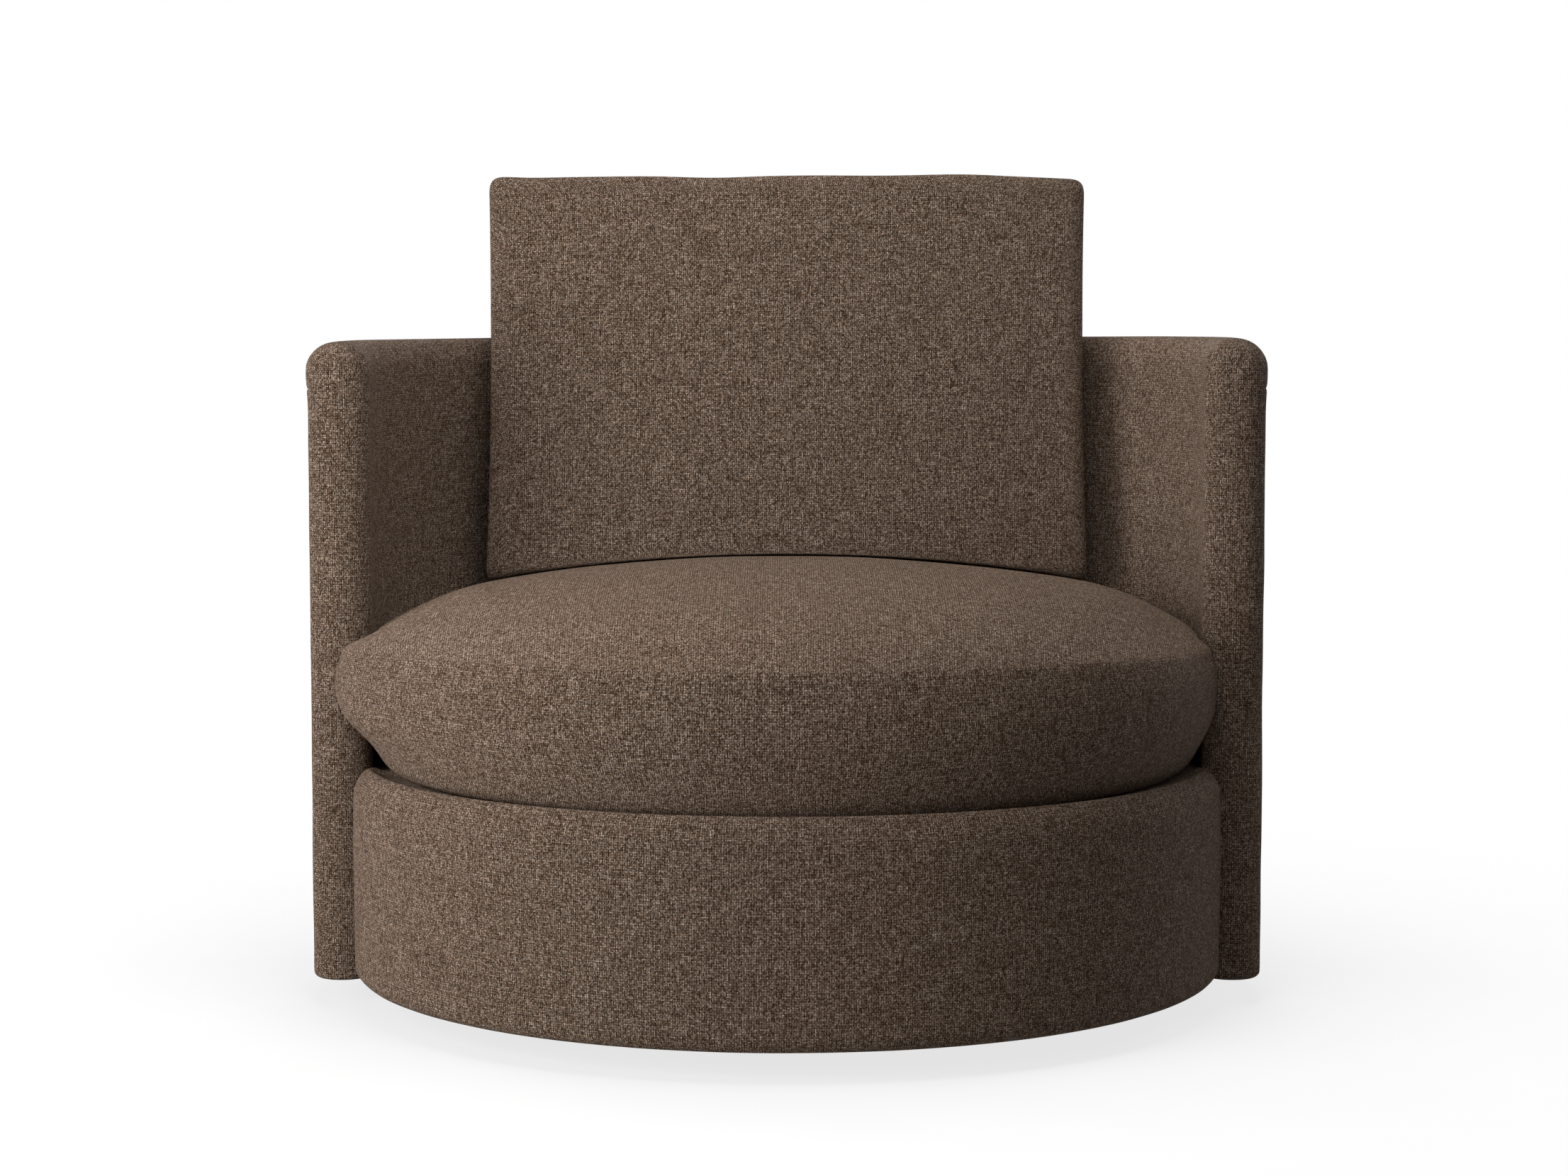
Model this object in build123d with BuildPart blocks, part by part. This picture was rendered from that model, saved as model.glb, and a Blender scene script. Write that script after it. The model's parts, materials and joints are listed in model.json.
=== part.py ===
from build123d import *

import math
import os

# A barrel chair on a hidden swivel: a wall of arms and back, a round padded seat base inside it,
# a round loose seat cushion and a loose back cushion.
# Millimetres. The floor is z = 0, the chair faces -Y and turns about the Z axis.
# Left and right are as seen from the front.

# Driving dimensions, outside
CHAIR_WIDTH = 1016.0  # across the barrel
ARM_HEIGHT = 706.0  # floor to the top of the arms and the back
FLOOR_GAP = 28.0  # floor to the lowest upholstery
WALL_THICKNESS = 65.0  # arms and back
ARM_REACH = 90.0  # arm fronts, ahead of the barrel's centre
ARM_FRONT_ROUND = 31.5  # upright corners of the arm fronts
RIM_ROUND = 30.0  # along the top of the wall
HEM_ROUND = 8.0  # along the bottom of the wall
SEAT_RADIUS = 466.0  # front rail
DECK_HEIGHT = 247.0  # where the seat cushion lies
RAIL_TOP_ROUND = 20.0
RAIL_HEM_ROUND = 18.0

# Driving dimensions, cushions
SEAT_CROWN = 468.0  # floor to the top of the seat cushion
SEAT_SEAM = Vector(456, 393)  # radius and height of the seam round the top panel
SEAT_BULGE = Vector(464, 335)  # fullest point of the border
SEAT_SHOULDER = Vector(330, 440)  # where the crown starts to fall away
SEAT_FOOT = Vector(446, 270)  # where the border turns under
SEAT_REST_RADIUS = 414.0  # flat on the deck within this
BACK_WIDTH = 678.0
BACK_HEIGHT = 464.0
BACK_THICKNESS = 165.0
BACK_CORNER = 24.0
BACK_EDGE = 22.0  # softening along the edges of the two faces
BACK_SIDE_DRAW = 5.0  # how far the sides are drawn in between the corners
BACK_TOP_DRAW = 3.0
BACK_CROWN_RADIUS = 1800.0  # of each face
BACK_LEAN = 10.0  # degrees
BACK_CENTRE = (226.0, 653.0)  # distance behind the barrel's centre, and height
CUSHION_CLEARANCE = 1.2  # between a cushion and what it touches
# which way each point of the seat cushion's profile moves for a smaller form
SHOULDER_INWARD = Vector(-0.15, -1)
SEAM_INWARD = Vector(-0.8, -0.7)
BULGE_INWARD = Vector(-1, 0)
FOOT_INWARD = Vector(-0.8, 0.6)
WRAP_THICKNESS = 12.0  # fibre around the seat core

# Driving dimensions, layers and frame
FABRIC = 2.0
GAP = 0.3  # between neighbouring layers
CUT_MARGIN = 1.0  # cutting shapes reach past what they cut
PLY = 18.0
LINER = 3.0
PADDING_DEPTH = 7.0  # outside of the barrel to its outer liner
FRAME_DEPTH = 27.4  # of the frame inside the wall
HEM_WIDTH = 20.0  # fabric turned under the wall
SEAM_DROP = 52.0  # top of the outside panel, below the rim
SEAM_SETBACK = 28.0  # front of the outside panel, behind the arm front
POST_WIDTH = 45.0
POST_DEPTH = 24.4
POST_COUNT = 7
POST_SPACING = 25.0  # degrees
BOARD_WIDTH = 30.0
BOARD_SHIFT = 2.5  # arm front boards, inwards from the frame's middle
JOINING_PLATE = (36.0, 40.0, 2.0)
SEAT_RING_TOP = 213.0
INSIDE_HEM = 215.0  # bottom of the inside upholstery behind the seat
FRAME_TOP = 680.0
PANEL_THICKNESS = 9.0
PANEL_RADIUS = 438.0  # outside of the bent front panel
ROLL_RADIUS = 405.0  # where the front rail's cover meets the deck's cover
SEAT_RING_INNER = 380.0
BOTTOM_RING_INNER = 330.0
SEAT_POST_RADIUS = 410.0
SEAT_POST_COUNT = 6
SEAT_POST_SECTION = (36.0, 50.0)
RAIL_SPACING = 160.0
RAIL_SECTION = (30.0, 45.0)
RAIL_LENGTH = 800.0

# Driving dimensions, springs and deck
SPRING_COUNT = 5
SPRING_SPACING = 120.0
SPRING_WIRE = 2.0  # radius
SPRING_WIDTH = 50.0
SPRING_STEP = 26.0
SPRING_BEND = 8.0
SPRING_END_RADIUS = 415.0
SPRING_RISE = 3.0  # wire's centre above the seat ring
CLIP_SIZE = (20.0, 20.0, 9.0)
CLOTH_RISE = 10.0  # spring cloth above the seat ring
CLOTH = 1.5

# Driving dimensions, swivel base
GLIDE_RADIUS = 14.0
GLIDE_HEIGHT = 4.0
GLIDE_STEM = (3.0, 8.0)  # radius and length
GLIDE_HOLE_DEPTH = 9.0
GLIDE_CIRCLE = 245.0
GLIDE_COUNT = 6
BASE_RADIUS = 270.0
BASE_THICKNESS = 15.0
BASE_ROUND = 3.0  # round its rim
BASE_HOLE = 25.0  # clears the head of the centre rivet
PLATE_SIZE = 290.0
PLATE_CORNER = 20.0
PLATE = 2.5
RACE = 2.5  # height of a race above its plate
RACE_RADIUS = 100.0
RACE_WIDTH = 20.0
BALL_RADIUS = 4.0
BALL_COUNT = 24
BALL_CLEARANCE = 0.15
RACE_GAP = 2.0  # between the two races
CAGE_THICKNESS = 1.2
CAGE_WIDTH = 16.0
RIVET_RADIUS = 12.0
RIVET_HEAD = (20.0, 1.5)  # radius and thickness
RIVET_CLEARANCE = 0.06
BOLT_SPACING = 250.0
BOLT_RADIUS = 3.0
BOLT_HOLE = 3.2
HOLE_CLEARANCE = 0.075  # round a shank in its own hole
HEAD_ROOM = 2.0  # round a head in a hole that clears it
BOLT_HEAD = (7.0, 2.6)
NUT_BARREL = (4.5, 12.0)  # radius and length
NUT_FLANGE = (10.0, 1.6)
SCREW_RADIUS = 2.4
SCREW_HEAD = (5.5, 2.3)
SCREW_LENGTH = 22.0
SCREW_END_ROOM = 1.0  # hole beyond the end of a screw
BASE_SCREW_END = 2.0  # above the underside of the base disc
SWIVEL_BOARD_SIZE = 360.0
BOARD_SCREW_SPACING = 320.0
DUST_COVER = 1.0
DUST_COVER_HOLE = 218.0  # clears the corners of the swivel plates

# Driving dimensions, zips
ZIP_GROOVE = 22.0  # height of the seat zip's recess
ZIP_DEPTH = 6.0
ZIP_HEIGHT = 325.0
ZIP_FRONT_ANGLE = 45.0  # degrees behind the sides
ZIP_TAPE = 1.5
ZIP_SLIDER = (12.0, 3.4, 10.0)
ZIP_SLIDER_ANGLE = 132.0  # where the seat zip is closed
BACK_ZIP_WIDTH = 14.0
BACK_ZIP_LENGTH = 300.0
BACK_ZIP_TOP = 474.0
BACK_ZIP_BEHIND = 200.0  # behind the barrel's centre
BACK_ZIP_CLOSED = -140.0

# Worked-out values
BARREL_RADIUS = CHAIR_WIDTH / 2
INNER_RADIUS = BARREL_RADIUS - WALL_THICKNESS
MIDDLE_RADIUS = BARREL_RADIUS - WALL_THICKNESS / 2
BARREL_Y = (SEAT_RADIUS - BARREL_RADIUS) / 2  # the swivel is midway between front and back
BARREL_AXIS = Axis((0, BARREL_Y, 0), (0, 0, 1))
SECTION = Plane((0, BARREL_Y, 0), x_dir=(1, 0, 0), z_dir=(0, -1, 0))
OUTER_LINER_RADIUS = BARREL_RADIUS - PADDING_DEPTH
FRAME_OUTER = OUTER_LINER_RADIUS - LINER - GAP
FRAME_INNER = FRAME_OUTER - FRAME_DEPTH
INNER_LINER_RADIUS = FRAME_INNER - GAP - LINER
FRAME_MIDDLE = (FRAME_OUTER + FRAME_INNER) / 2
BOARD_FRONT = -ARM_REACH + FABRIC + PADDING_DEPTH + PLY + GAP
BOARD_BACK = BOARD_FRONT + PLY
SEAM_FRONT = SEAM_SETBACK - ARM_REACH
SEAM_HEIGHT = ARM_HEIGHT - SEAM_DROP
RAIL_BACK = -ARM_REACH - CUSHION_CLEARANCE
BASE_TOP = GLIDE_HEIGHT + BASE_THICKNESS
BALL_HEIGHT = BASE_TOP + PLATE + RACE + RACE_GAP / 2
FRAME_BOTTOM = 2 * BALL_HEIGHT - BASE_TOP  # the two plates mirror each other about the balls
FRAME_FLOOR = FRAME_BOTTOM + PLY
SEAT_RING_BOTTOM = SEAT_RING_TOP - PLY
CLOTH_BOTTOM = SEAT_RING_TOP + CLOTH_RISE
PAD_BOTTOM = CLOTH_BOTTOM + CLOTH + GAP
DECK_UNDER = DECK_HEIGHT - FABRIC
SPRING_PLACES = [SPRING_SPACING * (n - (SPRING_COUNT - 1) / 2) for n in range(SPRING_COUNT)]
BOLT_POINTS = [(x * BOLT_SPACING / 2, y * BOLT_SPACING / 2) for x in (-1, 1) for y in (-1, 1)]
BOARD_SCREW_POINTS = [
    (x * BOARD_SCREW_SPACING / 2, y * RAIL_SPACING / 2) for x in (-1, 1) for y in (-1, 1)
]
GLIDE_POINTS = [
    (
        GLIDE_CIRCLE * math.cos(math.tau * n / GLIDE_COUNT),
        GLIDE_CIRCLE * math.sin(math.tau * n / GLIDE_COUNT),
    )
    for n in range(GLIDE_COUNT)
]


def save(builder, name):
    """Label a finished piece and write it to its own file."""
    builder.part.label = name
    export_step(builder.part, f"parts/{name}.step")


def level(height):
    """Horizontal plane at a height, with its origin on the barrel's axis."""
    return Plane((0, BARREL_Y, height))


def keep_behind(front):
    """Cut away what a sketch on a level plane has ahead of y = front."""
    with Locations((0, front - CHAIR_WIDTH / 2)):
        Rectangle(2 * CHAIR_WIDTH, CHAIR_WIDTH, mode=Mode.SUBTRACT)


def keep_ahead(back):
    """Cut away what a sketch on a level plane has behind y = back."""
    with Locations((0, back + CHAIR_WIDTH / 2)):
        Rectangle(2 * CHAIR_WIDTH, CHAIR_WIDTH, mode=Mode.SUBTRACT)


def draw_band(outer, inner, front):
    """Draw a band round the barrel's axis that is open to the front."""
    Circle(outer)
    Circle(inner, mode=Mode.SUBTRACT)
    keep_behind(front)


def draw_seat_frame(outer, inner):
    """Draw a round that reaches further out behind the arm boards, with a hole if inner isn't 0."""
    Circle(outer)
    keep_behind(BOARD_BACK + GAP)
    Circle(PANEL_RADIUS)
    if inner:
        Circle(inner, mode=Mode.SUBTRACT)


def draw_deck(shrink):
    """Draw the deck's outline: up to the wall behind, up to the front roll ahead."""
    Circle(INNER_RADIUS - CUSHION_CLEARANCE - shrink)
    keep_behind(RAIL_BACK + GAP + shrink)
    Circle(ROLL_RADIUS - GAP - shrink)


def band(outer, inner, front, bottom, top):
    """Upright C-shaped wall about the barrel's axis."""
    with BuildPart() as wall:
        with BuildSketch(level(bottom)):
            draw_band(outer, inner, front)
        extrude(amount=top - bottom)
    return wall


def barrel_wall(inset):
    """The arms and back as one solid, drawn in by inset on every face."""
    with BuildPart() as wall:
        with BuildSketch(level(FLOOR_GAP + inset)) as plan:
            draw_band(BARREL_RADIUS - inset, INNER_RADIUS + inset, inset - ARM_REACH)
            fillet(plan.vertices().group_by(Axis.Y)[0], ARM_FRONT_ROUND - inset)
        extrude(amount=ARM_HEIGHT - FLOOR_GAP - 2 * inset)
        fillet(wall.faces().sort_by(Axis.Z)[-1].edges(), RIM_ROUND - inset)
        fillet(wall.faces().sort_by(Axis.Z)[0].edges(), HEM_ROUND - inset)
    return wall.part


def front_rail(inset):
    """The padded band ahead of the arms, drawn in by inset on its outer faces."""
    with BuildPart() as rail:
        with BuildSketch(SECTION) as section:
            with Locations((ROLL_RADIUS, FLOOR_GAP + inset)):
                Rectangle(
                    SEAT_RADIUS - inset - ROLL_RADIUS,
                    DECK_HEIGHT - FLOOR_GAP - 2 * inset,
                    align=(Align.MIN, Align.MIN),
                )
            outer = section.vertices().group_by(Axis.X)[-1].sort_by(Axis.Y)
            fillet(outer[0], RAIL_HEM_ROUND - inset)
            fillet(outer[-1], RAIL_TOP_ROUND - inset)
        revolve(axis=BARREL_AXIS)
        split(bisect_by=Plane((0, BARREL_Y + RAIL_BACK, 0), z_dir=(0, -1, 0)), keep=Keep.TOP)
    return rail.part


def seat_form(inset):
    """The seat cushion's crowned form, drawn in by inset on every face."""
    crown_top = Vector(0, SEAT_CROWN - inset)
    shoulder_point = SEAT_SHOULDER + SHOULDER_INWARD * inset
    seam_point = SEAT_SEAM + SEAM_INWARD * inset
    bulge_point = SEAT_BULGE + BULGE_INWARD * inset
    foot_point = SEAT_FOOT + FOOT_INWARD * inset
    rest_point = Vector(SEAT_REST_RADIUS - inset, DECK_HEIGHT + CUSHION_CLEARANCE + inset)
    with BuildPart() as form:
        with BuildSketch(SECTION):
            with BuildLine():
                crown = TangentArc(crown_top, shoulder_point, tangent=(1, 0))
                TangentArc(shoulder_point, seam_point, tangent=crown % 1)
                ThreePointArc(seam_point, bulge_point, foot_point)
                TangentArc(rest_point, foot_point, tangent=(1, 0))
                Polyline(rest_point, (0, rest_point.Y), crown_top)
            make_face()
        revolve(axis=BARREL_AXIS)
        add(barrel_wall(-CUSHION_CLEARANCE - inset), mode=Mode.SUBTRACT)
    return form.part


def back_form(inset):
    """The back cushion's crowned form, set down on the seat cushion, drawn in by inset."""
    lean = math.radians(BACK_LEAN)
    facing = Vector(0, -math.cos(lean), math.sin(lean))
    centre = Vector(0, BARREL_Y + BACK_CENTRE[0], BACK_CENTRE[1])
    middle = Plane(centre, x_dir=(1, 0, 0), z_dir=facing)
    crown_centre = facing * (BACK_THICKNESS / 2 - BACK_CROWN_RADIUS)
    right = BACK_WIDTH / 2 - inset
    top = BACK_HEIGHT / 2 - inset
    with BuildPart() as form:
        with BuildSketch(middle.offset(-BACK_THICKNESS / 2)) as outline:
            with BuildLine():
                ThreePointArc((-right, -top), (0, BACK_TOP_DRAW - top), (right, -top))
                ThreePointArc((right, -top), (right - BACK_SIDE_DRAW, 0), (right, top))
                ThreePointArc((right, top), (0, top - BACK_TOP_DRAW), (-right, top))
                ThreePointArc((-right, top), (BACK_SIDE_DRAW - right, 0), (-right, -top))
            make_face()
            fillet(outline.vertices(), BACK_CORNER - inset)
        extrude(amount=BACK_THICKNESS)
        # each face is part of a large sphere
        for crown in (crown_centre, -crown_centre):
            with Locations(centre + crown):
                Sphere(BACK_CROWN_RADIUS - inset, mode=Mode.INTERSECT)
        fillet(form.faces().filter_by(GeomType.SPHERE).edges(), BACK_EDGE - inset)
        add(seat_form(-CUSHION_CLEARANCE - inset), mode=Mode.SUBTRACT)
    return form.part


def back_zip_recess(shrink, top):
    """Straight recess for the zip, up into the underside of the back cushion."""
    with BuildPart() as recess:
        with BuildSketch(level(SEAT_SEAM.Y)):
            with Locations((0, BACK_ZIP_BEHIND)):
                Rectangle(BACK_ZIP_LENGTH - 2 * shrink, BACK_ZIP_WIDTH - 2 * shrink)
        extrude(amount=top - SEAT_SEAM.Y)
    return recess.part


def bearing_plate(plate_bottom, race_bottom, pin_hole):
    """Square swivel plate with a raised, grooved ball race."""
    with BuildPart() as plate:
        with BuildSketch(Plane.XY.offset(plate_bottom)):
            RectangleRounded(PLATE_SIZE, PLATE_SIZE, PLATE_CORNER)
        extrude(amount=PLATE)
        with BuildSketch(Plane.XY.offset(race_bottom)):
            Circle(RACE_RADIUS + RACE_WIDTH / 2)
            Circle(RACE_RADIUS - RACE_WIDTH / 2, mode=Mode.SUBTRACT)
        extrude(amount=RACE)
        with BuildSketch(Plane.XZ):
            with Locations((RACE_RADIUS, BALL_HEIGHT)):
                Circle(BALL_RADIUS + BALL_CLEARANCE)
        revolve(axis=Axis.Z, mode=Mode.SUBTRACT)
        with BuildSketch(Plane.XY.offset(plate_bottom)):
            Circle(pin_hole)
            with Locations(*BOLT_POINTS):
                Circle(BOLT_HOLE)
        extrude(amount=PLATE, mode=Mode.SUBTRACT)
    return plate


def fasteners(points, head_radius, head_span, shank_radius, shank_span):
    """One plain fastener at each point: a round head and a shank, each from height to height."""
    with BuildPart() as group:
        for radius, (low, high) in ((head_radius, head_span), (shank_radius, shank_span)):
            with BuildSketch(Plane.XY.offset(low)):
                with Locations(*points):
                    Circle(radius)
            extrude(amount=high - low)
    return group


def spring_end(x):
    """Distance from the barrel's centre line, front to back, at which a spring ends."""
    return math.sqrt(SPRING_END_RADIUS**2 - x**2)


os.makedirs("parts", exist_ok=True)

# Floor base
glide_stem_span = (GLIDE_HEIGHT, GLIDE_HEIGHT + GLIDE_STEM[1])
floor_glides = fasteners(GLIDE_POINTS, GLIDE_RADIUS, (0, GLIDE_HEIGHT), GLIDE_STEM[0], glide_stem_span)
save(floor_glides, "floor_glides")

with BuildPart() as base_disc:
    with BuildSketch(Plane.XY.offset(GLIDE_HEIGHT)):
        Circle(BASE_RADIUS)
        Circle(BASE_HOLE, mode=Mode.SUBTRACT)
        # a way in for the tool that turns the bolts of the upper plate
        with Locations((BOLT_SPACING / math.sqrt(2), 0)):
            Circle(BOLT_HEAD[0] + HEAD_ROOM, mode=Mode.SUBTRACT)
    extrude(amount=BASE_THICKNESS)
    fillet(base_disc.edges().filter_by(GeomType.CIRCLE).group_by(SortBy.RADIUS)[-1], BASE_ROUND)
    with BuildSketch(Plane.XY.offset(GLIDE_HEIGHT)):
        with Locations(*GLIDE_POINTS):
            Circle(GLIDE_STEM[0] + HOLE_CLEARANCE)
    extrude(amount=GLIDE_HOLE_DEPTH, mode=Mode.SUBTRACT)
    with BuildSketch(Plane.XY.offset(BASE_TOP)):
        with Locations(*BOLT_POINTS):
            Circle(SCREW_RADIUS + HOLE_CLEARANCE)
    extrude(amount=-BASE_THICKNESS, mode=Mode.SUBTRACT)
save(base_disc, "base_disc")

swivel_lower_plate = bearing_plate(BASE_TOP, BASE_TOP + PLATE, RIVET_RADIUS + RIVET_CLEARANCE)
save(swivel_lower_plate, "swivel_lower_plate")

base_screw_seat = BASE_TOP + PLATE
base_screws = fasteners(
    BOLT_POINTS,
    SCREW_HEAD[0],
    (base_screw_seat, base_screw_seat + SCREW_HEAD[1]),
    SCREW_RADIUS,
    (GLIDE_HEIGHT + BASE_SCREW_END, base_screw_seat),
)
save(base_screws, "base_screws")

# Ball bearing
with BuildPart() as bearing_balls:
    with PolarLocations(RACE_RADIUS, BALL_COUNT):
        with Locations((0, 0, BALL_HEIGHT)):
            Sphere(BALL_RADIUS)
save(bearing_balls, "bearing_balls")

with BuildPart() as ball_cage:
    with BuildSketch(Plane.XY.offset(BALL_HEIGHT - CAGE_THICKNESS / 2)):
        Circle(RACE_RADIUS + CAGE_WIDTH / 2)
        Circle(RACE_RADIUS - CAGE_WIDTH / 2, mode=Mode.SUBTRACT)
        with PolarLocations(RACE_RADIUS, BALL_COUNT):
            Circle(BALL_RADIUS + BALL_CLEARANCE, mode=Mode.SUBTRACT)
    extrude(amount=CAGE_THICKNESS)
save(ball_cage, "ball_cage")

# Upper half of the swivel
upper_plate_bottom = FRAME_BOTTOM - PLATE
swivel_upper_plate = bearing_plate(upper_plate_bottom, upper_plate_bottom - RACE, RIVET_RADIUS)
save(swivel_upper_plate, "swivel_upper_plate")

with BuildPart() as centre_rivet:
    with BuildSketch(Plane.XY.offset(BASE_TOP - RIVET_HEAD[1] - GAP)):
        Circle(RIVET_RADIUS)
    extrude(amount=FRAME_BOTTOM - BASE_TOP + 2 * RIVET_HEAD[1] + GAP)
    with BuildSketch(Plane.XY.offset(BASE_TOP - RIVET_HEAD[1] - GAP), Plane.XY.offset(FRAME_BOTTOM)):
        Circle(RIVET_HEAD[0])
    extrude(amount=RIVET_HEAD[1])
save(centre_rivet, "centre_rivet")

swivel_bolts = fasteners(
    BOLT_POINTS,
    BOLT_HEAD[0],
    (upper_plate_bottom - BOLT_HEAD[1], upper_plate_bottom),
    BOLT_RADIUS,
    (upper_plate_bottom, FRAME_FLOOR + NUT_FLANGE[1]),
)
save(swivel_bolts, "swivel_bolts")

with BuildPart() as swivel_nuts:
    for radius, bottom, top in (
        (NUT_BARREL[0], FRAME_FLOOR - NUT_BARREL[1], FRAME_FLOOR),
        (NUT_FLANGE[0], FRAME_FLOOR, FRAME_FLOOR + NUT_FLANGE[1]),
    ):
        with BuildSketch(Plane.XY.offset(bottom)):
            with Locations(*BOLT_POINTS):
                Circle(radius)
                Circle(BOLT_RADIUS + HOLE_CLEARANCE, mode=Mode.SUBTRACT)
        extrude(amount=top - bottom)
save(swivel_nuts, "swivel_nuts")

with BuildPart() as swivel_board:
    with BuildSketch(Plane.XY.offset(FRAME_BOTTOM)):
        RectangleRounded(SWIVEL_BOARD_SIZE, SWIVEL_BOARD_SIZE, PLATE_CORNER)
        Circle(RIVET_HEAD[0] + HEAD_ROOM, mode=Mode.SUBTRACT)
        with Locations(*BOLT_POINTS):
            Circle(NUT_BARREL[0] + HOLE_CLEARANCE, mode=Mode.SUBTRACT)
        with Locations(*BOARD_SCREW_POINTS):
            Circle(SCREW_RADIUS + HOLE_CLEARANCE, mode=Mode.SUBTRACT)
    extrude(amount=PLY)
save(swivel_board, "swivel_board")

board_screws = fasteners(
    BOARD_SCREW_POINTS,
    SCREW_HEAD[0],
    (FRAME_BOTTOM - SCREW_HEAD[1], FRAME_BOTTOM),
    SCREW_RADIUS,
    (FRAME_BOTTOM, FRAME_FLOOR + SCREW_LENGTH),
)
save(board_screws, "board_screws")

# Seat frame
with BuildPart() as cross_rails:
    with BuildSketch(Plane.XY.offset(FRAME_FLOOR)):
        with GridLocations(0, RAIL_SPACING, 1, 2):
            Rectangle(RAIL_LENGTH, RAIL_SECTION[0])
    extrude(amount=RAIL_SECTION[1])
    with BuildSketch(Plane.XY.offset(FRAME_FLOOR)):
        with Locations(*BOARD_SCREW_POINTS):
            Circle(SCREW_RADIUS + HOLE_CLEARANCE)
    extrude(amount=SCREW_LENGTH + SCREW_END_ROOM, mode=Mode.SUBTRACT)
save(cross_rails, "cross_rails")

with BuildPart() as bottom_ring:
    with BuildSketch(level(FRAME_BOTTOM)):
        draw_seat_frame(FRAME_INNER - GAP, BOTTOM_RING_INNER)
    extrude(amount=PLY)
save(bottom_ring, "bottom_ring")

with BuildPart() as seat_ring:
    with BuildSketch(level(SEAT_RING_BOTTOM)):
        draw_seat_frame(INNER_LINER_RADIUS - GAP, SEAT_RING_INNER)
    extrude(amount=PLY)
save(seat_ring, "seat_ring")

with BuildPart() as seat_posts:
    with BuildSketch(level(FRAME_FLOOR)):
        with PolarLocations(SEAT_POST_RADIUS, SEAT_POST_COUNT, 0, 180, endpoint=True):
            Rectangle(*SEAT_POST_SECTION)
    extrude(amount=SEAT_RING_BOTTOM - FRAME_FLOOR)
save(seat_posts, "seat_posts")

with BuildPart() as front_rail_panel:
    with BuildSketch(level(FRAME_FLOOR)):
        Circle(PANEL_RADIUS)
        Circle(PANEL_RADIUS - PANEL_THICKNESS, mode=Mode.SUBTRACT)
        keep_ahead(BOARD_FRONT)
    extrude(amount=SEAT_RING_BOTTOM - FRAME_FLOOR)
save(front_rail_panel, "front_rail_panel")

# Barrel frame
barrel_bottom_rail = band(FRAME_OUTER, FRAME_INNER, BOARD_BACK + GAP, FRAME_BOTTOM, FRAME_FLOOR)
save(barrel_bottom_rail, "barrel_bottom_rail")

barrel_top_rail = band(FRAME_OUTER, FRAME_INNER, BOARD_BACK + GAP, FRAME_TOP - PLY, FRAME_TOP)
save(barrel_top_rail, "barrel_top_rail")

with BuildPart() as barrel_posts:
    with BuildSketch(level(FRAME_FLOOR)):
        first_post = 90 - POST_SPACING * (POST_COUNT - 1) / 2
        with PolarLocations(FRAME_MIDDLE, POST_COUNT, first_post, 180 - 2 * first_post, endpoint=True):
            Rectangle(POST_DEPTH, POST_WIDTH)
    extrude(amount=FRAME_TOP - PLY - FRAME_FLOOR)
save(barrel_posts, "barrel_posts")

for side, name in ((-1, "arm_front_board_left"), (1, "arm_front_board_right")):
    with BuildPart() as arm_front_board:
        with BuildSketch(level(FRAME_BOTTOM)):
            with Locations((side * (FRAME_MIDDLE - BOARD_SHIFT), (BOARD_FRONT + BOARD_BACK) / 2)):
                Rectangle(BOARD_WIDTH, PLY)
        extrude(amount=FRAME_TOP - FRAME_BOTTOM)
    save(arm_front_board, name)

inner_liner = band(
    INNER_LINER_RADIUS + LINER, INNER_LINER_RADIUS, BOARD_BACK + GAP, INSIDE_HEM, FRAME_TOP
)
save(inner_liner, "inner_liner")

tacking_strip = band(
    INNER_LINER_RADIUS + LINER, INNER_LINER_RADIUS, BOARD_BACK + GAP, SEAT_RING_BOTTOM, INSIDE_HEM - GAP
)
save(tacking_strip, "tacking_strip")

outer_liner = band(
    OUTER_LINER_RADIUS, OUTER_LINER_RADIUS - LINER, BOARD_BACK + GAP, FRAME_BOTTOM, FRAME_TOP
)
save(outer_liner, "outer_liner")

with BuildPart() as joining_plates:
    with BuildSketch(level(FRAME_FLOOR)):
        first_plate = first_post + POST_SPACING / 2
        with PolarLocations(FRAME_INNER, POST_COUNT - 1, first_plate, 180 - 2 * first_plate, endpoint=True):
            Rectangle(JOINING_PLATE[0], JOINING_PLATE[1])
    extrude(amount=JOINING_PLATE[2])
save(joining_plates, "joining_plates")

# Springs and deck
with BuildPart() as sinuous_springs:
    for x in SPRING_PLACES:
        end = spring_end(x)
        lead = end - CLIP_SIZE[1] - 2 * SPRING_BEND
        steps = 2 * round(lead / SPRING_STEP)
        zigzag = [
            (x + (-1) ** n * SPRING_WIDTH / 2, lead * ((2 * n + 1) / steps - 1)) for n in range(steps)
        ]
        with BuildLine(level(SEAT_RING_TOP + SPRING_RISE)) as wire:
            FilletPolyline((x, -end), (x, -lead), *zigzag, (x, lead), (x, end), radius=SPRING_BEND)
        with BuildSketch(Plane(wire.line @ 0, z_dir=wire.line % 0)):
            Circle(SPRING_WIRE)
        sweep()
save(sinuous_springs, "sinuous_springs")

with BuildPart() as spring_clips:
    for x in SPRING_PLACES:
        for back in (spring_end(x), CLIP_SIZE[1] - spring_end(x)):
            clip_plane = Plane((x, BARREL_Y + back, SEAT_RING_TOP), x_dir=(1, 0, 0), z_dir=(0, -1, 0))
            with BuildSketch(clip_plane):
                with Locations((0, CLIP_SIZE[2] / 2)):
                    Rectangle(CLIP_SIZE[0], CLIP_SIZE[2])
                with Locations((0, SPRING_RISE)):
                    Circle(SPRING_WIRE + GAP, mode=Mode.SUBTRACT)
            extrude(amount=CLIP_SIZE[1])
save(spring_clips, "spring_clips")

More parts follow.
